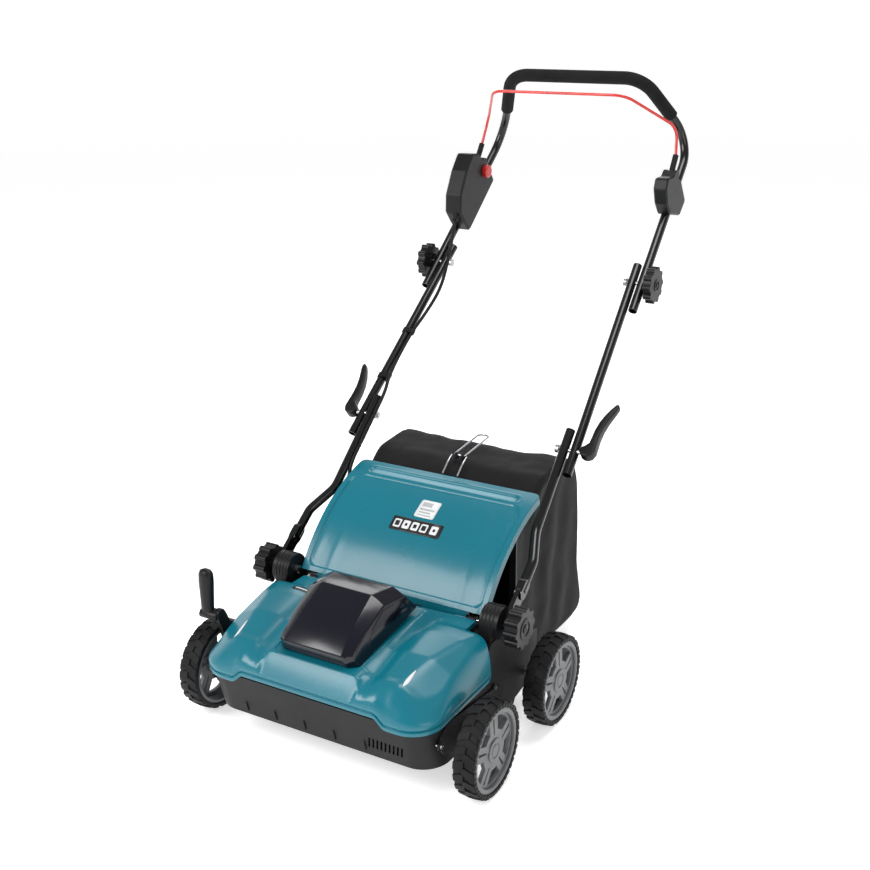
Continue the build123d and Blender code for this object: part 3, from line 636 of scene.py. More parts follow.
def makeShoulderHighlights():
    parts = []
    for hand in ("left", "right"):
        a, b = (Vector(v) for v in shoulderHighlights[hand])
        side = Vector((-(b - a).y, (b - a).x)).normalized()
        rows = []
        for k in range(19):
            t = k / 18
            wide = shoulderHighlights["width"] * max(sin(pi * t), 0.02) ** 0.6 * (1.15 - 0.6 * t)
            row = []
            for across in (-1, -0.4, 0.4, 1):
                spot = a.lerp(b, t) + side * wide * across
                row.append(place(spot.x, spot.y, hoodHeight(spot.x, spot.y) + shoulderHighlights["lift"]))
            rows.append(row)
        points, faces = grid(rows)
        # white teardrop painted as a highlight on the shoulder edge
        parts.append(thicken(meshFrom(hand, points, faces, "whitePrint"), 0.5))
    piece = joined("shoulderHighlights", parts)
    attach(piece, "chassis")


makeShoulderHighlights()

# lid: arched plate with a raised rim, hinged behind the battery
lid = dict(arch=((158.0, 233.0), (254.0, 330.5), (381.0, 381.0)), half=197.5, rim=11.0, step=3.0,
           wall=2.6, flange=15.0, corner=12.0, grip=(18.0, 38.0), gripHalf=163.0, gripDeep=3.4, panel=45.0,
           creases=(130.0, 168.0), pin=(163.0, 217.0), barrel=6.6)


def circleThrough(a, b, c):
    # centre and radius of the circle through three spots
    d = 2 * (a[0] * (b[1] - c[1]) + b[0] * (c[1] - a[1]) + c[0] * (a[1] - b[1]))
    sa, sb, sc = (v[0] ** 2 + v[1] ** 2 for v in (a, b, c))
    u = (sa * (b[1] - c[1]) + sb * (c[1] - a[1]) + sc * (a[1] - b[1])) / d
    v = (sa * (c[0] - b[0]) + sb * (a[0] - c[0]) + sc * (b[0] - a[0])) / d
    return (u, v), hypot(a[0] - u, a[1] - v)


archCentre, archRadius = circleThrough(*lid["arch"])
archStart, archEnd = (atan2(lid["arch"][k][1] - archCentre[1], lid["arch"][k][0] - archCentre[0])
                      for k in (0, 2))
archLength = abs(archEnd - archStart) * archRadius


def lidSpot(x, run, depth):
    # run is measured down the arch from its upper edge, depth from its crown inward
    angle = archEnd + (archStart - archEnd) * run / archLength
    reach = archRadius - depth
    return place(x, archCentre[0] + reach * cos(angle), archCentre[1] + reach * sin(angle))


def roundedBox(x, y, halfX, halfY, corner):
    # distance outside a rounded rectangle, negative within it
    dx, dy = abs(x) - halfX + corner, abs(y) - halfY + corner
    return hypot(max(dx, 0), max(dy, 0)) + min(max(dx, dy), 0) - corner


def lidDepth(x, run):
    low, high = lid["panel"], archLength - 9
    middle = (low + high) / 2
    edge = roundedBox(x, run - middle, lid["half"] - lid["rim"], (high - low) / 2, 30 if run < middle else 14)
    depth = lid["step"] * (1 - smooth(-2.6, 0.0, edge))
    low, high = lid["grip"]
    trough = roundedBox(x, run - (low + high) / 2, lid["gripHalf"], (high - low) / 2, (high - low) / 2)
    depth += lid["gripDeep"] * (1 - smooth(-5.0, 1.5, trough))
    depth -= 0.9 * exp(-((trough - 2.2) / 1.7) ** 2)
    for crease in lid["creases"]:
        lean = crease + 10 * (run / archLength)
        depth -= 0.7 * exp(-((abs(x) - lean) / 6.5) ** 2) * smooth(56, 84, run)
    return depth


def lidColumns():
    half = lid["half"]
    right = [0]
    while right[-1] < half - 18:
        right.append(right[-1] + 4.5)
    right += [half - 14.5, half - 13.4, half - 12.6, half - 11.8, half - 11, half - 8, half - 4, half - 1.2,
              half - 0.3]
    return [-x for x in right[:0:-1]] + right


def makeLid():
    runs = [0, 1.2, 3, 5, 7, 8.2, 9.2, 10.2, 11.4, 13]
    while runs[-1] < archLength - 15:
        runs.append(runs[-1] + (1.6 if runs[-1] < 52 else 4.0))
    runs += [archLength - 12, archLength - 10.5, archLength - 9.2, archLength - 7, archLength - 3, archLength]
    rows = []
    for run in runs:
        pinch = lid["corner"] - sqrt(max(lid["corner"] ** 2 - max(lid["corner"] - run, 0) ** 2, 0))
        row = [lidSpot(-(lid["half"] - pinch), run, lid["flange"])]
        for x in lidColumns():
            near = x * (lid["half"] - pinch) / lid["half"]
            row.append(lidSpot(near, run, lidDepth(x, run) + (0.8 if abs(x) > lid["half"] - 0.5 else 0)))
        row.append(lidSpot(lid["half"] - pinch, run, lid["flange"]))
        rows.append(row)
    points, faces = grid(rows)
    shell = faceUp(meshFrom("lidShell", points, faces, "tealPlastic"))
    thicken(shell, lid["wall"])
    parts = [shell]
    for x0, x1, more in ((-138, -72, 0), (-62, 62, 0), (72, 138, 0), (-160, -140, 0.4), (140, 160, 0.4)):
        path = [place(x, *lid["pin"]) for x in (x0, x0 + 2, x1 - 2, x1)]
        parts.append(tube("barrel", path, lid["barrel"] + more, "tealPlastic", 20))
    y, z = lid["pin"]
    web = [(y - 6, z + 2), (y + 6, z + 1), (y + 7, z + 22), (y - 3, z + 17)]
    parts.append(prism("web", web, -160, 160, "tealPlastic"))
    piece = crisp(joined("lidShell", parts), 34)
    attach(piece, "lid_body")
    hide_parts("lid")


makeLid()
print("lid made")

# plain stickers on the lid: pale card with bars, dark strip with pale squares
stickers = dict(card=(-14, 28, 268, 306), strip=(-51, 57, 237, 262), lift=0.5, thick=0.35,
                bars=((-8, 12, 0.62, 0.86), (-8, 22, 0.40, 0.50), (-8, 16, 0.24, 0.32), (-8, 20, 0.10, 0.16)),
                squares=(-45, -26, -7, 12, 34), squareWide=15)


def runAt(station):
    return (archEnd - acos((station - archCentre[0]) / archRadius)) / (archEnd - archStart) * archLength


def patch(name, x0, x1, y0, y1, lift, look, corner=2.0):
    # thin rounded patch lying on the lid
    r0, r1 = runAt(y1), runAt(y0)
    halfX, halfR = (x1 - x0) / 2, (r1 - r0) / 2
    rows = []
    for k in range(15):
        run = -halfR + 2 * halfR * k / 14
        pull = max(abs(run) - halfR + corner, 0)
        narrow = halfX - corner + sqrt(max(corner * corner - pull * pull, 0))
        rows.append([lidSpot((x0 + x1) / 2 + narrow * across, (r0 + r1) / 2 + run,
                             lid["step"] - lift) for across in (-1, -0.5, 0, 0.5, 1)])
    points, faces = grid(rows)
    return thicken(faceUp(meshFrom(name, points, faces, look)), stickers["thick"])


def makeStickers():
    x0, x1, y0, y1 = stickers["card"]
    card = patch("lidCard", x0, x1, y0, y1, stickers["lift"], "whitePrint")
    tall = y1 - y0
    bars = [patch("bar", x0 + 6 + a + 8, x0 + 6 + b + 8, y0 + tall * low, y0 + tall * high,
                  stickers["lift"] + 0.25, "greyLabel", 0.5) for a, b, low, high in stickers["bars"]]
    u0, u1, v0, v1 = stickers["strip"]
    strip = patch("lidStrip", u0, u1, v0, v1, stickers["lift"], "blackPrint")
    lights, darks = [], []
    wide = stickers["squareWide"]
    for k, x in enumerate(stickers["squares"]):
        lights.append(patch("square", x, x + wide, v0 + 5, v1 - 5, stickers["lift"] + 0.25,
                            "whitePrint", 1.5))
        inset = (3, 5, 4, 3, 5)[k]
        darks.append(patch("dark", x + inset, x + wide - inset, v0 + 5 + inset, v1 - 5 - inset,
                           stickers["lift"] + 0.5, "blackPrint", 1.0))
    for piece in (card, strip, joined("cardBars", bars), joined("stripLights", lights),
                  joined("stripDarks", darks)):
        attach(piece, "lid_body")


makeStickers()


def makeGripHighlight():
    # paler strip along the floor of the grip channel: a painted highlight, lighter teal in place of the light
    # the channel floor catches
    low, high = lid["grip"]
    rows = []
    for k in range(9):
        run = low + 4 + (high - low - 8) * k / 8
        pull = abs(run - (low + high) / 2) / ((high - low - 8) / 2)
        wide = lid["gripHalf"] - 8 + 5 * sqrt(max(1 - pull * pull, 0))
        rows.append([lidSpot(wide * across / 20, run, lid["gripDeep"] - 0.7) for across in range(-20, 21)])
    points, faces = grid(rows)
    # painted highlight strip in a paler teal
    piece = thicken(faceUp(meshFrom("gripHighlightStrip", points, faces, "paintedHighlightTeal")), 0.6)
    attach(piece, "lid_body")


makeGripHighlight()

# battery case: dark wedge that swings up over the packs
case = dict(profile=((-76, 211), (-83, 233), (-34, 270), (22, 299), (74, 296), (98, 262), (98, 250)),
            halfFoot=78.0, flare=0.158, draft=0.231, chamfer=(14, 15, 19, 23, 22, 12, 3), bevel=4.5, wall=2.5,
            panel=((-36, 232), (-16, 259), (16, 279), (56, 279), (80, 262), (82, 252)),
            hinge=(104.0, 251.0), knuckle=5.0, knuckleX=(50, 9))


def caseHalf(y, z):
    return case["halfFoot"] + (y + 90) * case["flare"] - (z - 205) * case["draft"]


def makeCase():
    work = bmesh.new()
    for (y, z), cut in zip(case["profile"], case["chamfer"]):
        low = z - cut * 0.6 if z > 240 else z
        back = y if z > 240 else y + cut * 0.8
        for sign in (-1, 1):
            work.verts.new(place(sign * (caseHalf(y, z) - cut), y, z))
            if cut > 3:
                work.verts.new(place(sign * caseHalf(back, low), back, low))
    made = bmesh.ops.convex_hull(work, input=work.verts)
    loose = [v for v in made["geom_interior"] + made["geom_unused"] if isinstance(v, bmesh.types.BMVert)]
    bmesh.ops.delete(work, geom=list(set(loose)), context="VERTS")
    bmesh.ops.dissolve_limit(work, angle_limit=radians(4), verts=work.verts, edges=work.edges)
    bmesh.ops.recalc_face_normals(work, faces=work.faces)
    mesh = bpy.data.meshes.new("batteryCase")
    work.to_mesh(mesh)
    work.free()
    mesh.materials.append(finish["navyPlastic"])
    shell = rounded(newObject("batteryCase", mesh), case["bevel"], 4, 12)
    work = bmesh.new()
    work.from_mesh(shell.data)
    below = [f for f in work.faces if f.normal.z < -0.8]
    bmesh.ops.delete(work, geom=below, context="FACES")
    work.to_mesh(shell.data)
    work.free()
    thicken(shell, case["wall"])
    parts = [shell]
    y, z = case["hinge"]
    at, half = case["knuckleX"]
    for x in (-at, at):
        path = [place(x + k, y, z) for k in (-half, -half + 1, half - 1, half)]
        parts.append(tube("knuckle", path, case["knuckle"], "navyPlastic", 18))
        parts.append(prism("tab", ((94, 250), (94, 262), (104, 256), (104, 251)), x - half, x + half,
                           "navyPlastic"))
    count = len(case["panel"])
    for sign in (-1, 1):
        points = [place(sign * (caseHalf(a, b) + out), a, b) for out in (-1.5, 1.1) for a, b in case["panel"]]
        panel = meshFrom("panel", points, slabFaces(count), "navyPlastic", flat=True)
        parts.append(rounded(panel, 0.8, 2, 40))
    path = [place(x, -82.6, 233.6) for x in (-66, -60, 0, 60, 66)]
    parts.append(tube("frontLip", path, 1.3, "navyPlastic", 8))
    piece = crisp(joined("batteryCase", parts), 24)
    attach(piece, "battery_door")
    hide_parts("battery_cover")


makeCase()
print("battery case made")


# repeats: one block turned round a wheel or stepped along a line
def newTree(name, sockets):
    tree = bpy.data.node_groups.new(name, "GeometryNodeTree")
    tree.interface.new_socket("Geometry", in_out="INPUT", socket_type="NodeSocketGeometry")
    for label, kind in sockets:
        tree.interface.new_socket(label, in_out="INPUT", socket_type=kind)
    tree.interface.new_socket("Geometry", in_out="OUTPUT", socket_type="NodeSocketGeometry")
    return tree, tree.nodes.new("NodeGroupInput"), tree.nodes.new("NodeGroupOutput")


def endTree(tree, given, instances, shift=None):
    real = tree.nodes.new("GeometryNodeRealizeInstances")
    tree.links.new(instances, real.inputs[0])
    last = real.outputs[0]
    if shift is not None:
        move = tree.nodes.new("GeometryNodeTransform")
        tree.links.new(last, move.inputs["Geometry"])
        tree.links.new(shift, move.inputs["Translation"])
        last = move.outputs[0]
    paint = tree.nodes.new("GeometryNodeSetMaterial")
    tree.links.new(last, paint.inputs["Geometry"])
    tree.links.new(given.outputs["Material"], paint.inputs["Material"])
    return paint.outputs[0]


def ringTree():
    tree, given, result = newTree("ringRepeat", (("Count", "NodeSocketInt"), ("Centre", "NodeSocketVector"),
                                                 ("Material", "NodeSocketMaterial")))
    link = tree.links.new
    back = tree.nodes.new("ShaderNodeVectorMath")
    back.operation = "SCALE"
    back.inputs["Scale"].default_value = -1
    link(given.outputs["Centre"], back.inputs[0])
    home = tree.nodes.new("GeometryNodeTransform")
    link(given.outputs["Geometry"], home.inputs["Geometry"])
    link(back.outputs[0], home.inputs["Translation"])
    dots = tree.nodes.new("GeometryNodePoints")
    link(given.outputs["Count"], dots.inputs["Count"])
    index = tree.nodes.new("GeometryNodeInputIndex")
    share = tree.nodes.new("ShaderNodeMath")
    share.operation = "DIVIDE"
    link(index.outputs[0], share.inputs[0])
    link(given.outputs["Count"], share.inputs[1])
    turn = tree.nodes.new("ShaderNodeMath")
    turn.operation = "MULTIPLY"
    turn.inputs[1].default_value = 2 * pi
    link(share.outputs[0], turn.inputs[0])
    spin = tree.nodes.new("ShaderNodeCombineXYZ")
    link(turn.outputs[0], spin.inputs["X"])
    copies = tree.nodes.new("GeometryNodeInstanceOnPoints")
    link(dots.outputs[0], copies.inputs["Points"])
    link(home.outputs[0], copies.inputs["Instance"])
    link(spin.outputs[0], copies.inputs["Rotation"])
    link(endTree(tree, given, copies.outputs[0], given.outputs["Centre"]), result.inputs[0])
    return tree


def rowTree():
    tree, given, result = newTree("rowRepeat", (("Count", "NodeSocketInt"), ("Offset", "NodeSocketVector"),
                                                ("Material", "NodeSocketMaterial")))
    link = tree.links.new
    index = tree.nodes.new("GeometryNodeInputIndex")
    along = tree.nodes.new("ShaderNodeVectorMath")
    along.operation = "SCALE"
    link(given.outputs["Offset"], along.inputs[0])
    link(index.outputs[0], along.inputs["Scale"])
    dots = tree.nodes.new("GeometryNodePoints")
    link(given.outputs["Count"], dots.inputs["Count"])
    link(along.outputs[0], dots.inputs["Position"])
    copies = tree.nodes.new("GeometryNodeInstanceOnPoints")
    link(dots.outputs[0], copies.inputs["Points"])
    link(given.outputs["Geometry"], copies.inputs["Instance"])
    link(endTree(tree, given, copies.outputs[0]), result.inputs[0])
    return tree


trees = {"ring": ringTree(), "row": rowTree()}


def repeat(piece, kind, look, **values):
    tree = trees[kind]
    maker = piece.modifiers.new(kind, "NODES")
    maker.node_group = tree
    values["Material"] = finish[look]
    for item in tree.interface.items_tree:
        if item.in_out == "INPUT" and item.name in values:
            maker[item.identifier] = values[item.name]
    return freeze(piece)


# wheels: treaded tyres on five-spoke rims
wheel = dict(radius=85.0, core=82.2, bed=73.6, blocks=22, hub=21.0, barrel=67.0,
             stations={"front": 0.0, "rear": 252.0})
wheelLow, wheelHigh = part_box("tyre_front_right")
wheel["x"] = (wheelLow[0] + wheelHigh[0]) / 2 / mm
wheel["half"] = (wheelHigh[0] - wheelLow[0]) / 2 / mm


def makeTyre(corner, sign, station):
    half, core, bed = wheel["half"], wheel["core"], wheel["bed"]
    centre = place(sign * wheel["x"], station, wheel["radius"])
    outline = [(-half + 1.5, bed), (-half, bed + 2), (-half, core - 4.5), (-half + 1.2, core - 1.8),
               (-half + 4, core - 0.3), (-half + 8, core), (half - 8, core), (half - 4, core - 0.3),
               (half - 1.2, core - 1.8), (half, core - 4.5), (half, bed + 2), (half - 1.5, bed)]
    ring = lathe("ring", outline + outline[:1], centre, "tyreRubber", 96)
    # each tread block is a slanted bar from one shoulder to past the middle
    blocks = []
    for hand, lead in ((1, 0.0), (-1, 0.5)):
        step = 2 * pi / wheel["blocks"]
        points = []
        for high in (core - 0.8, wheel["radius"] - 0.15):
            shrink = 0.0 if high < core else 0.035
            for along, angle in ((half - 0.6, 0.10), (half - 0.6, 0.66), (half * 0.30, 0.92),
                                 (-half * 0.06, 0.92), (-half * 0.06, 0.36), (half * 0.30, 0.36)):
                middle = 0.5
                turn = (lead + middle + (angle - middle) * (1 - shrink * 2)) * step
                drop = 1.6 if along > half - 1 else 0.0
                reach = high - drop
                points.append(centre + Vector((hand * along * (1 - shrink) * mm, sin(turn) * reach * mm,
                                               cos(turn) * reach * mm)))
        faces = [(0, 1, 2, 5), (5, 2, 3, 4), (6, 7, 8, 11), (11, 8, 9, 10)]
        faces += [(k, (k + 1) % 6, 6 + (k + 1) % 6, 6 + k) for k in range(6)]
        block = meshFrom("block", points, faces, "tyreRubber", flat=True)
        blocks.append(repeat(block, "ring", "tyreRubber", Count=wheel["blocks"], Centre=tuple(centre)))
    # shallow lugs on the outer shoulder
    lug = []
    for high, out in ((core - 9, 0.35), (core - 1.5, 0.35), (core - 9, -0.6), (core - 1.5, -0.6)):
        for turn in (-0.045, 0.045):
            lug.append(centre + Vector((sign * (half + out) * mm, sin(turn) * high * mm,
                                        cos(turn) * high * mm)))
    faces = [(0, 1, 3, 2), (4, 5, 7, 6), (0, 2, 6, 4), (1, 3, 7, 5), (0, 1, 5, 4), (2, 3, 7, 6)]
    lugs = repeat(meshFrom("lug", lug, faces, "tyreRubber", flat=True), "ring", "tyreRubber",
                  Count=wheel["blocks"] * 2, Centre=tuple(centre))
    piece = crisp(joined("tyre" + corner, [ring, lugs] + blocks), 35)
    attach(piece, "wheel_" + corner)
    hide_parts("tyre_" + corner)


def makeRim(corner, sign, station):
    half = wheel["half"]
    centre = place(sign * wheel["x"], station, wheel["radius"])
    face = bpy.data.curves.new("face", "CURVE")
    face.dimensions = "2D"
    face.fill_mode = "BOTH"
    face.extrude = 3.0 * mm
    face.bevel_depth = 1.0 * mm
    face.bevel_resolution = 2

    def loop(spots):
        line = face.splines.new("POLY")
        line.points.add(len(spots) - 1)
        for point, (u, v) in zip(line.points, spots):
            point.co = (u * mm, v * mm, 0, 1)
        line.use_cyclic_u = True

    def arc(radius, low, high, count):
        return [(radius * cos(low + (high - low) * k / count), radius * sin(low + (high - low) * k / count))
                for k in range(count + 1)]

    loop(arc(66.5, 0, 2 * pi, 96)[:-1])
    for k in range(5):
        mid = radians(90 + 36 + 72 * k)
        # broad window between two spokes
        loop(arc(60.5, mid - 0.41, mid + 0.41, 16) + arc(35, mid + 0.27, mid - 0.27, 8))
        # narrow slot down the middle of a spoke
        spoke = radians(90 + 72 * k)
        u, v = Vector((cos(spoke), sin(spoke))), Vector((-sin(spoke), cos(spoke)))
        slot = [u * 28 + v * 2.2, u * 58 + v * 3.4, u * 60 + v * 1.6, u * 60 - v * 1.6, u * 58 - v * 3.4,
                u * 28 - v * 2.2]
        loop([tuple(p) for p in slot])
    mesh = curveMesh(face, "rimPlastic")
    out = half - 9
    for v in mesh.vertices:
        u, w, t = v.co
        dish = 0.045 * max(hypot(u, w) / mm - 22, 0) * mm
        v.co = centre + Vector((sign * (out * mm + t - dish), u, w))
    plate = newObject("plate", mesh)
    # outer ring with a stepped lip, then the barrel behind it
    ring = [(half - 2.2, 65), (half - 1.0, 67), (half - 1.0, 71), (half - 2.0, 73.4), (-half + 3, 73.6),
            (-half + 2, 72), (-half + 2, 68), (half - 14, 66.5), (half - 6, 64.4), (half - 4.4, 64.2)]
    parts = [plate, lathe("ring", ring + ring[:1], centre, "rimPlastic", 96, sign)]
    hub = [(-half + 1, 9), (-half + 1, 20), (half - 9, 21), (half - 4.2, 21), (half - 3, 19.8),
           (half - 3, 14.5), (half - 4.4, 13.4), (half - 4.4, 11), (half - 3.2, 10), (half - 3.2, 0.4)]
    parts.append(lathe("hub", hub, centre, "rimPlastic", 48, sign))
    piece = crisp(joined("rim" + corner, parts), 30)
    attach(piece, "wheel_" + corner)
    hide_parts("rim_" + corner)


for row, station in wheel["stations"].items():
    for hand, sign in (("left", -1), ("right", 1)):
        makeTyre(row + "_" + hand, sign, station)
        makeRim(row + "_" + hand, sign, station)
print("wheels made")

# bag: stitched cloth with folds, open towards the drum
bag = dict(half=186.0, corner=13.0, cloth=1.6, sag=5.0, fold=2.6,
           outline=((306, 336), (374, 364), (394, 384), (420, 402), (518, 408), (562, 384), (580, 340),
                    (589, 250), (590, 154), (615, 62), (604, 42), (560, 34), (340, 40), (306, 58)),
           mouth=(172.0, 104.0, 316.0), seam=1.7)


def bagLoop():
    # evenly spaced spots along the outline with softened corners
    spots = [Vector(v) for v in bag["outline"]]
    line = []
    for i in range(len(spots) - 1):
        a, b = spots[i], spots[i + 1]
        count = max(int((b - a).length / 6), 1)
        line += [a.lerp(b, k / count) for k in range(count)]
    line.append(spots[-1])
    for turn in range(6):
        line = [line[0]] + [(line[i - 1] + line[i] * 2 + line[i + 1]) / 4 for i in range(1, len(line) - 1)]
        line.append(spots[-1])
    return line


def makeBag():
    line = bagLoop()
    middle = Vector((450, 200))
    half, corner = bag["half"], bag["corner"]
    count = len(line)

    def normalAt(i):
        a, b = line[max(i - 1, 0)], line[min(i + 1, count - 1)]
        side = Vector(((b - a).y, -(b - a).x)).normalized()
        return side if side.dot(middle - line[i]) > 0 else -side

    def wrinkle(x, y, z):
        spot = Vector((x, y, z))
        return noise.noise(spot * 0.012) * 0.7 + noise.noise(spot * 0.035 + Vector((7, 3, 1))) * 0.3

    across = [-half + corner * (1 - cos(a * pi / 12)) for a in range(7)]
    columns = across[:]
    while columns[-1] < half - corner - 8:
        columns.append(columns[-1] + 7)
    columns += [-x for x in across[::-1]]
    rows = []
    for i, spot in enumerate(line):
        front = smooth(0, 10, i) * smooth(0, 10, count - 1 - i)
        row = []
        for x in columns:
            over = max(abs(x) - half + corner, 0)
            inset = corner - sqrt(max(corner * corner - over * over, 0))
            dip = bag["sag"] * cos(x / half * pi / 2) ** 0.8 * front
            dip += bag["fold"] * wrinkle(x, spot.x, spot.y) * 2 * front
            dip += 1.6 * sin(x * 0.11 + spot.x * 0.03) * front * smooth(380, 470, spot.x) * 0.5
            inset *= smooth(0, 5, i) * smooth(0, 5, count - 1 - i)
            moved = spot + normalAt(i) * (inset + max(dip, -0.5))
            row.append(place(x, moved.x, moved.y))
        rows.append(row)
    points, faces = grid(rows)
    parts = [meshFrom("band", points, faces, "bagCloth")]
    for sign in (-1, 1):
        rows = []
        for i, spot in enumerate(line):
            deep = corner * smooth(0, 5, i) * smooth(0, 5, count - 1 - i)
            edge = spot + normalAt(i) * deep
            home = Vector((306, 336 + (58 - 336) * i / (count - 1)))
            row = []
            for k in range(25):
                t = k / 24
                here = edge.lerp(home, t)
                shape = sin(pi * t) ** 0.7 * smooth(0, 8, i) * smooth(0, 8, count - 1 - i)
                folds = sin((here.x - here.y * 0.22) * 0.075 + 1.4 * wrinkle(3, here.x, here.y)) * bag["fold"]
                folds += bag["fold"] * 1.6 * wrinkle(sign * 90, here.x * 1.6, here.y * 0.6)
                inward = (2.8 + folds) * shape
                row.append(place(sign * (half - max(inward, -0.4)), here.x, here.y))
            rows.append(row)
        points, faces = grid(rows)
        parts.append(meshFrom("side", points, faces, "bagCloth"))
    wide, low, high = bag["mouth"]
    rim = [(-half, 58), (half, 58), (half, 336), (-half, 336)]
    hole = [(-wide, low), (wide, low), (wide, high), (-wide, high)]
    rows = [[place(x, 306, z) for x, z in loop] for loop in (rim, hole)]
    points, faces = grid(rows, closed=True)
    parts.append(meshFrom("front", points, faces, "bagCloth"))
    skin = joined("bagCloth", parts)
    outward(skin.data, 0.0006)
    thicken(skin, bag["cloth"])
    seams = []
    for sign in (-1, 1):
        path = []
        for i, spot in enumerate(line[2:-2]):
            moved = spot + normalAt(i + 2) * corner * 0.42
            path.append(place(sign * (half - corner * 0.28), moved.x, moved.y))
        seams.append(tube("seam", path, bag["seam"], "bagCloth", 8))
    # stitched tabs that hold the carrying wire
    for x in (-9.5, 4.5):
        seams.append(prism("tab", [(418.5, 401), (430, 401), (429, 411), (426.5, 414.2), (421.5, 414.2),
                                   (419, 411)], x, x + 5, "bagCloth", 0.6))
    piece = crisp(joined("bagSkin", [skin] + seams), 50)
    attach(piece, "collector")
    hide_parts("grass_bag")


makeBag()
print("bag made")

# cable from the switch box down to the housing, in three fixed lengths that meet at the folds
cable = dict(thick=3.5, looks="cableRubber")
cableRuns = {
    "cableUpper": dict(node="cable_upper", bodies=("middle_handle", "top_handle"), start=(-196, 722, 690),
                       end=(-203, 775, 770),
                       route=((-211, 600, 590), (-203, 646, 622), (-195, 692, 664), (-196, 724, 712),
                              (-208, 771, 768), (-212, 786, 793.3))),
    "cableMiddle": dict(node="cable_middle", bodies=("lower_handle", "middle_handle"),
                        start=(-203, 405, 440), end=(-200, 478, 500),
                        route=((-203, 380, 412), (-198, 425, 460), (-199, 470, 496), (-212, 506, 517),
                               (-214, 560, 559), (-211, 599, 589.2))),
    "cableLower": dict(node="cable_lower", bodies=("chassis", "lower_handle"), start=(-216, 268, 220),
                       end=(-208, 325, 320),
                       route=((-218, 258, 174), (-218, 258, 202), (-213, 284, 240),
                              (-209, 316, 298), (-206, 338, 350), (-206, 352, 386), (-203, 379, 411))),
}


def makeCable(name, run):
    piece = bentTube(name, run["route"], cable["thick"], cable["looks"])
    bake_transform(piece)
    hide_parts(run["node"])


for name, run in cableRuns.items():
    makeCable(name, run)
print("cable made")

# quick-release arms beside the fold
camArm = dict(pivot=(440.0, 454.5), rise=37.7, x=258.0, deep=10.5,
              outline=((-7, -7), (-10.5, 0), (-10.5, 8), (-6, 15), (4, 18.5), (18, 17.5), (36, 16), (56, 17),
                       (76, 21), (94, 26.5), (107, 30), (114, 28.5), (113, 23), (100, 16), (84, 9.5), (66, 5),
                       (48, 3), (32, 3), (19, 2.5), (12, -3), (7, -9), (-1, -11)))


def makeCam(hand, sign):
    rise = radians(camArm["rise"])
    origin = place(sign * camArm["x"], *camArm["pivot"])
    along = Vector((0, cos(rise), sin(rise)))
    deep = Vector((0, -sin(rise), cos(rise)))
    out = Vector((sign, 0, 0))
    count = len(camArm["outline"])
    points = []
    for level in (-1, 1):
        for a, b in camArm["outline"]:
            wide = camArm["deep"] * (1 - 0.35 * smooth(30, 116, a))
            points.append(origin + (along * a + out * b + deep * level * wide) * mm)
    arm = rounded(meshFrom("arm", points, slabFaces(count), "knobPlastic", flat=True), 2.4, 3, 50)
    piece = crisp(joined("camArm" + hand.capitalize(), [arm]), 40)
    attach(piece, "cam_" + hand)
    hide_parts("cam_lever_" + hand)


for hand, sign in (("left", -1), ("right", 1)):
    makeCam(hand, sign)
print("levers made")

# depth lever: cranked arm over the wheel with an upright oval grip
depthGrip = dict(foot=(-280.0, -20.0, 193.0), tall=92.0, lean=(-0.02, 0.05), pivot=(25.0, 100.0),
                 sizes=((0.0, 10.5, 8.0), (0.12, 13.0, 9.5), (0.4, 14.0, 10.5), (0.75, 15.5, 11.5),
                        (0.9, 15.0, 11.0), (0.97, 12.0, 8.6), (1.0, 5.5, 4.0)))


def makeDepthLever():
    foot, tall = Vector(depthGrip["foot"]), depthGrip["tall"]
    rows = []
    stops = depthGrip["sizes"]
    for k in range(31):
        t = k / 30
        wide = between([(u, a) for u, a, b in stops], t)
        deep = between([(u, b) for u, a, b in stops], t)
        leanX, leanY = depthGrip["lean"]
        centre = foot + Vector((leanX * tall * t, leanY * tall * t, tall * t))
        rows.append([place(centre.x + wide * cos(2 * pi * j / 28), centre.y + deep * sin(2 * pi * j / 28),
                           centre.z) for j in range(28)])
    points, faces = grid(rows, closed=True)
    faces += [tuple(range(28)), tuple(range(30 * 28, 31 * 28))]
    grip = meshFrom("grip", points, faces, "trimPlastic")
    y, z = depthGrip["pivot"]
    outline = [(y + 15 * cos(a), z + 15 * sin(a)) for a in [pi + k * pi / 12 for k in range(13)]]
    outline += [(-2, 200), (-8, 209), (-16, 211), (-24, 206), (-26, 198)]
    arm = prism("arm", outline, -252, -263, "trimPlastic", 1.6)
    shelf = prism("shelf", [(-30, 192), (-8, 194), (-6, 203), (-12, 208), (-26, 206), (-31, 200)], -254, -294,
                  "trimPlastic", 2.5)
    piece = crisp(joined("depthLever", [grip, arm, shelf]), 40)
    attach(piece, "depth_crank")
    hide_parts("depth_lever")


makeDepthLever()

# carrying wire: round-ended loop on the bag's top, its legs stitched down in front
wire = dict(half=11.8, legs=16.2, back=524.0, thick=2.1)


def makeWire():
    half, back = wire["half"], wire["back"]
    route = [(0, 424, 409.6), (-half, 424, 409.6), (-half, 430, 410.2), (-half, 470, 413.5),
             (-half, back - 14, 417.5), (-half, back, 418.5), (0, back + 3, 419), (half, back, 418.5),
             (half, back - 14, 417.5), (half, 470, 413.5), (half, 430, 410.2), (half, 424, 409.6),
             (0, 424, 409.6)]
    loop = bentTube("carryLoop", route, wire["thick"], "brightSteel")
    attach(loop, "collector_wire")
    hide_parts("bag_handle")
    legs = joined("carryLegs", [
        bentTube("leg", [(x, 422, 408.5), (x, 410, 403), (x, 398, 393.5), (x, 384, 382)],
                 wire["thick"], "brightSteel") for x in (-wire["legs"], wire["legs"])])
    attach(legs, "collector")


makeWire()

# raised rings and caps on the hand knobs
knobFaces = dict(tilt=dict(ring=(13.0, 20.0), cap=9.0), upper=dict(ring=(8.5, 13.0), cap=5.5))


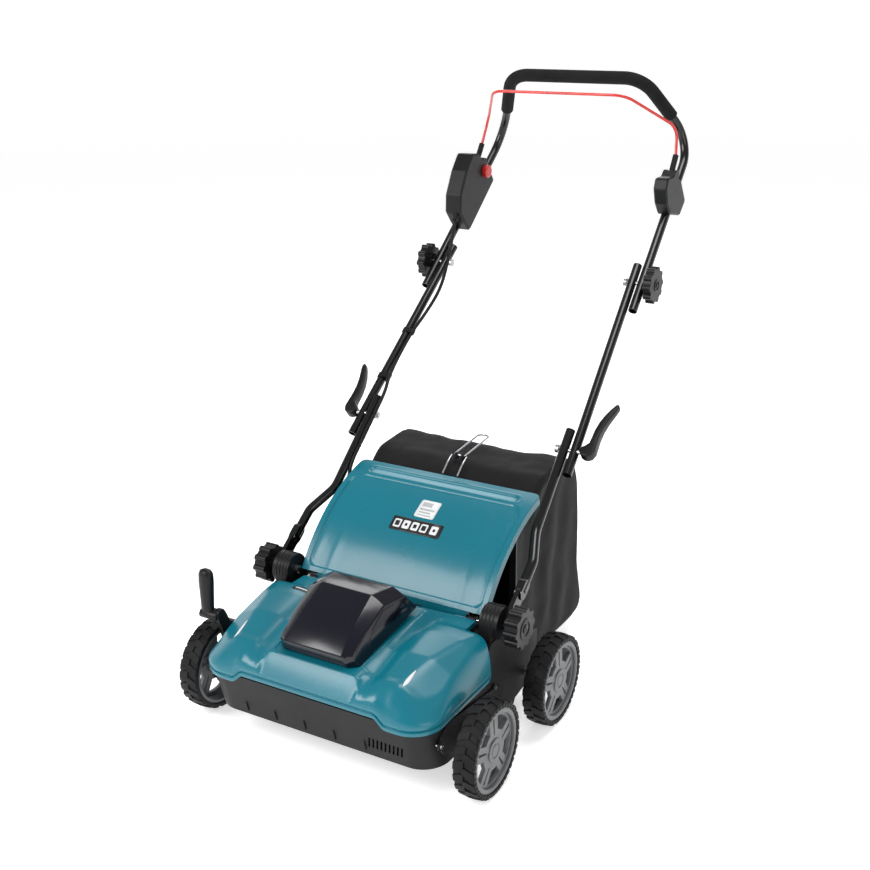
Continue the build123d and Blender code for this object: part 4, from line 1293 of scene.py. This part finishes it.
def makeKnobFaces():
    for kind, sizes in knobFaces.items():
        for hand, sign in (("left", -1), ("right", 1)):
            low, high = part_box(kind + "_knob_" + hand)
            centre = Vector((high[0] if sign > 0 else low[0], (low[1] + high[1]) / 2,
                             (low[2] + high[2]) / 2))
            a, b = sizes["ring"]
            cap = sizes["cap"]
            ring = [(-1, a), (1.0, a + 0.4), (1.6, a + 1.4), (1.6, b - 1.4), (1.0, b - 0.4), (-1, b)]
            parts = [lathe("ring", ring + ring[:1], centre, "knobPlastic", 40, sign)]
            dome = [(-1, cap), (0.8, cap - 0.3), (1.8, cap - 1.6), (2.2, cap * 0.4), (2.2, 0.05)]
            parts.append(lathe("dome", dome + [(-1, 0.05)] + dome[:1], centre, "knobPlastic", 28, sign))
            piece = crisp(joined("knobFace" + kind.capitalize() + hand.capitalize(), parts), 40)
            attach(piece, "knob_" + ("top" if kind == "upper" else kind) + "_" + hand)


makeKnobFaces()

# ribbed rings round the two handle bosses
bossRings = dict(pivot=(152.0, 232.0), radius=30.0, x=(209.0, 216.0, 223.0, 230.0), wide=1.5, high=1.0)


def makeBossRings():
    parts = []
    for sign in (-1, 1):
        for x in bossRings["x"]:
            centre = place(sign * x, *bossRings["pivot"])
            r, w, h = bossRings["radius"], bossRings["wide"], bossRings["high"]
            ring = [(-w, r - 1), (-w, r + h * 0.5), (-w * 0.5, r + h), (w * 0.5, r + h),
                    (w, r + h * 0.5), (w, r - 1)]
            parts.append(lathe("ring", ring + ring[:1], centre, "trimPlastic", 56))
    piece = crisp(joined("bossRings", parts), 50)
    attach(piece, "chassis")


makeBossRings()

# upright ribs along the front skirt and a small dark label on the hood's left rear
skirtRibs = dict(first=-150.0, pitch=62.0, count=5, foot=-78.6, lean=0.289, low=66.0, high=90.0, wide=3.0)


def makeRibs():
    g = skirtRibs
    steps = ((g["low"], 2), (g["low"] + 3, -1.8), (g["high"] - 3, -1.8), (g["high"], 2))
    outline = [(g["foot"] - (z - 58) * g["lean"] + out, z) for z, out in steps]
    rib = prism("rib", outline, g["first"], g["first"] + g["wide"], "housingPlastic")
    piece = repeat(rib, "row", "housingPlastic", Count=g["count"], Offset=(g["pitch"] * mm, 0.0, 0.0))
    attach(piece, "chassis")


makeRibs()

hoodLabel = dict(x=(-166, -128), stations=(84, 97), lift=0.4)


def makeHoodLabel():
    parts = []
    for look, inset, lift in (("blackPrint", 0, 0.0), ("whitePrint", 4.0, 0.25)):
        (x0, x1), (y0, y1) = hoodLabel["x"], hoodLabel["stations"]
        x0, x1, y0, y1 = x0 + inset, x1 - inset, y0 + inset + (2 if inset else 0), y1 - inset
        rows = [[place(x0 + (x1 - x0) * a / 8, y0 + (y1 - y0) * b / 4,
                       hoodHeight(x0 + (x1 - x0) * a / 8, y0 + (y1 - y0) * b / 4) + hoodLabel["lift"] + lift)
                 for a in range(9)] for b in range(5)]
        points, faces = grid(rows)
        made = faceUp(meshFrom("hoodLabel" + look[:5].capitalize(), points, faces, look))
        parts.append(thicken(made, 0.4))
    for piece in parts:
        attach(piece, "chassis")


makeHoodLabel()
print("small parts made")
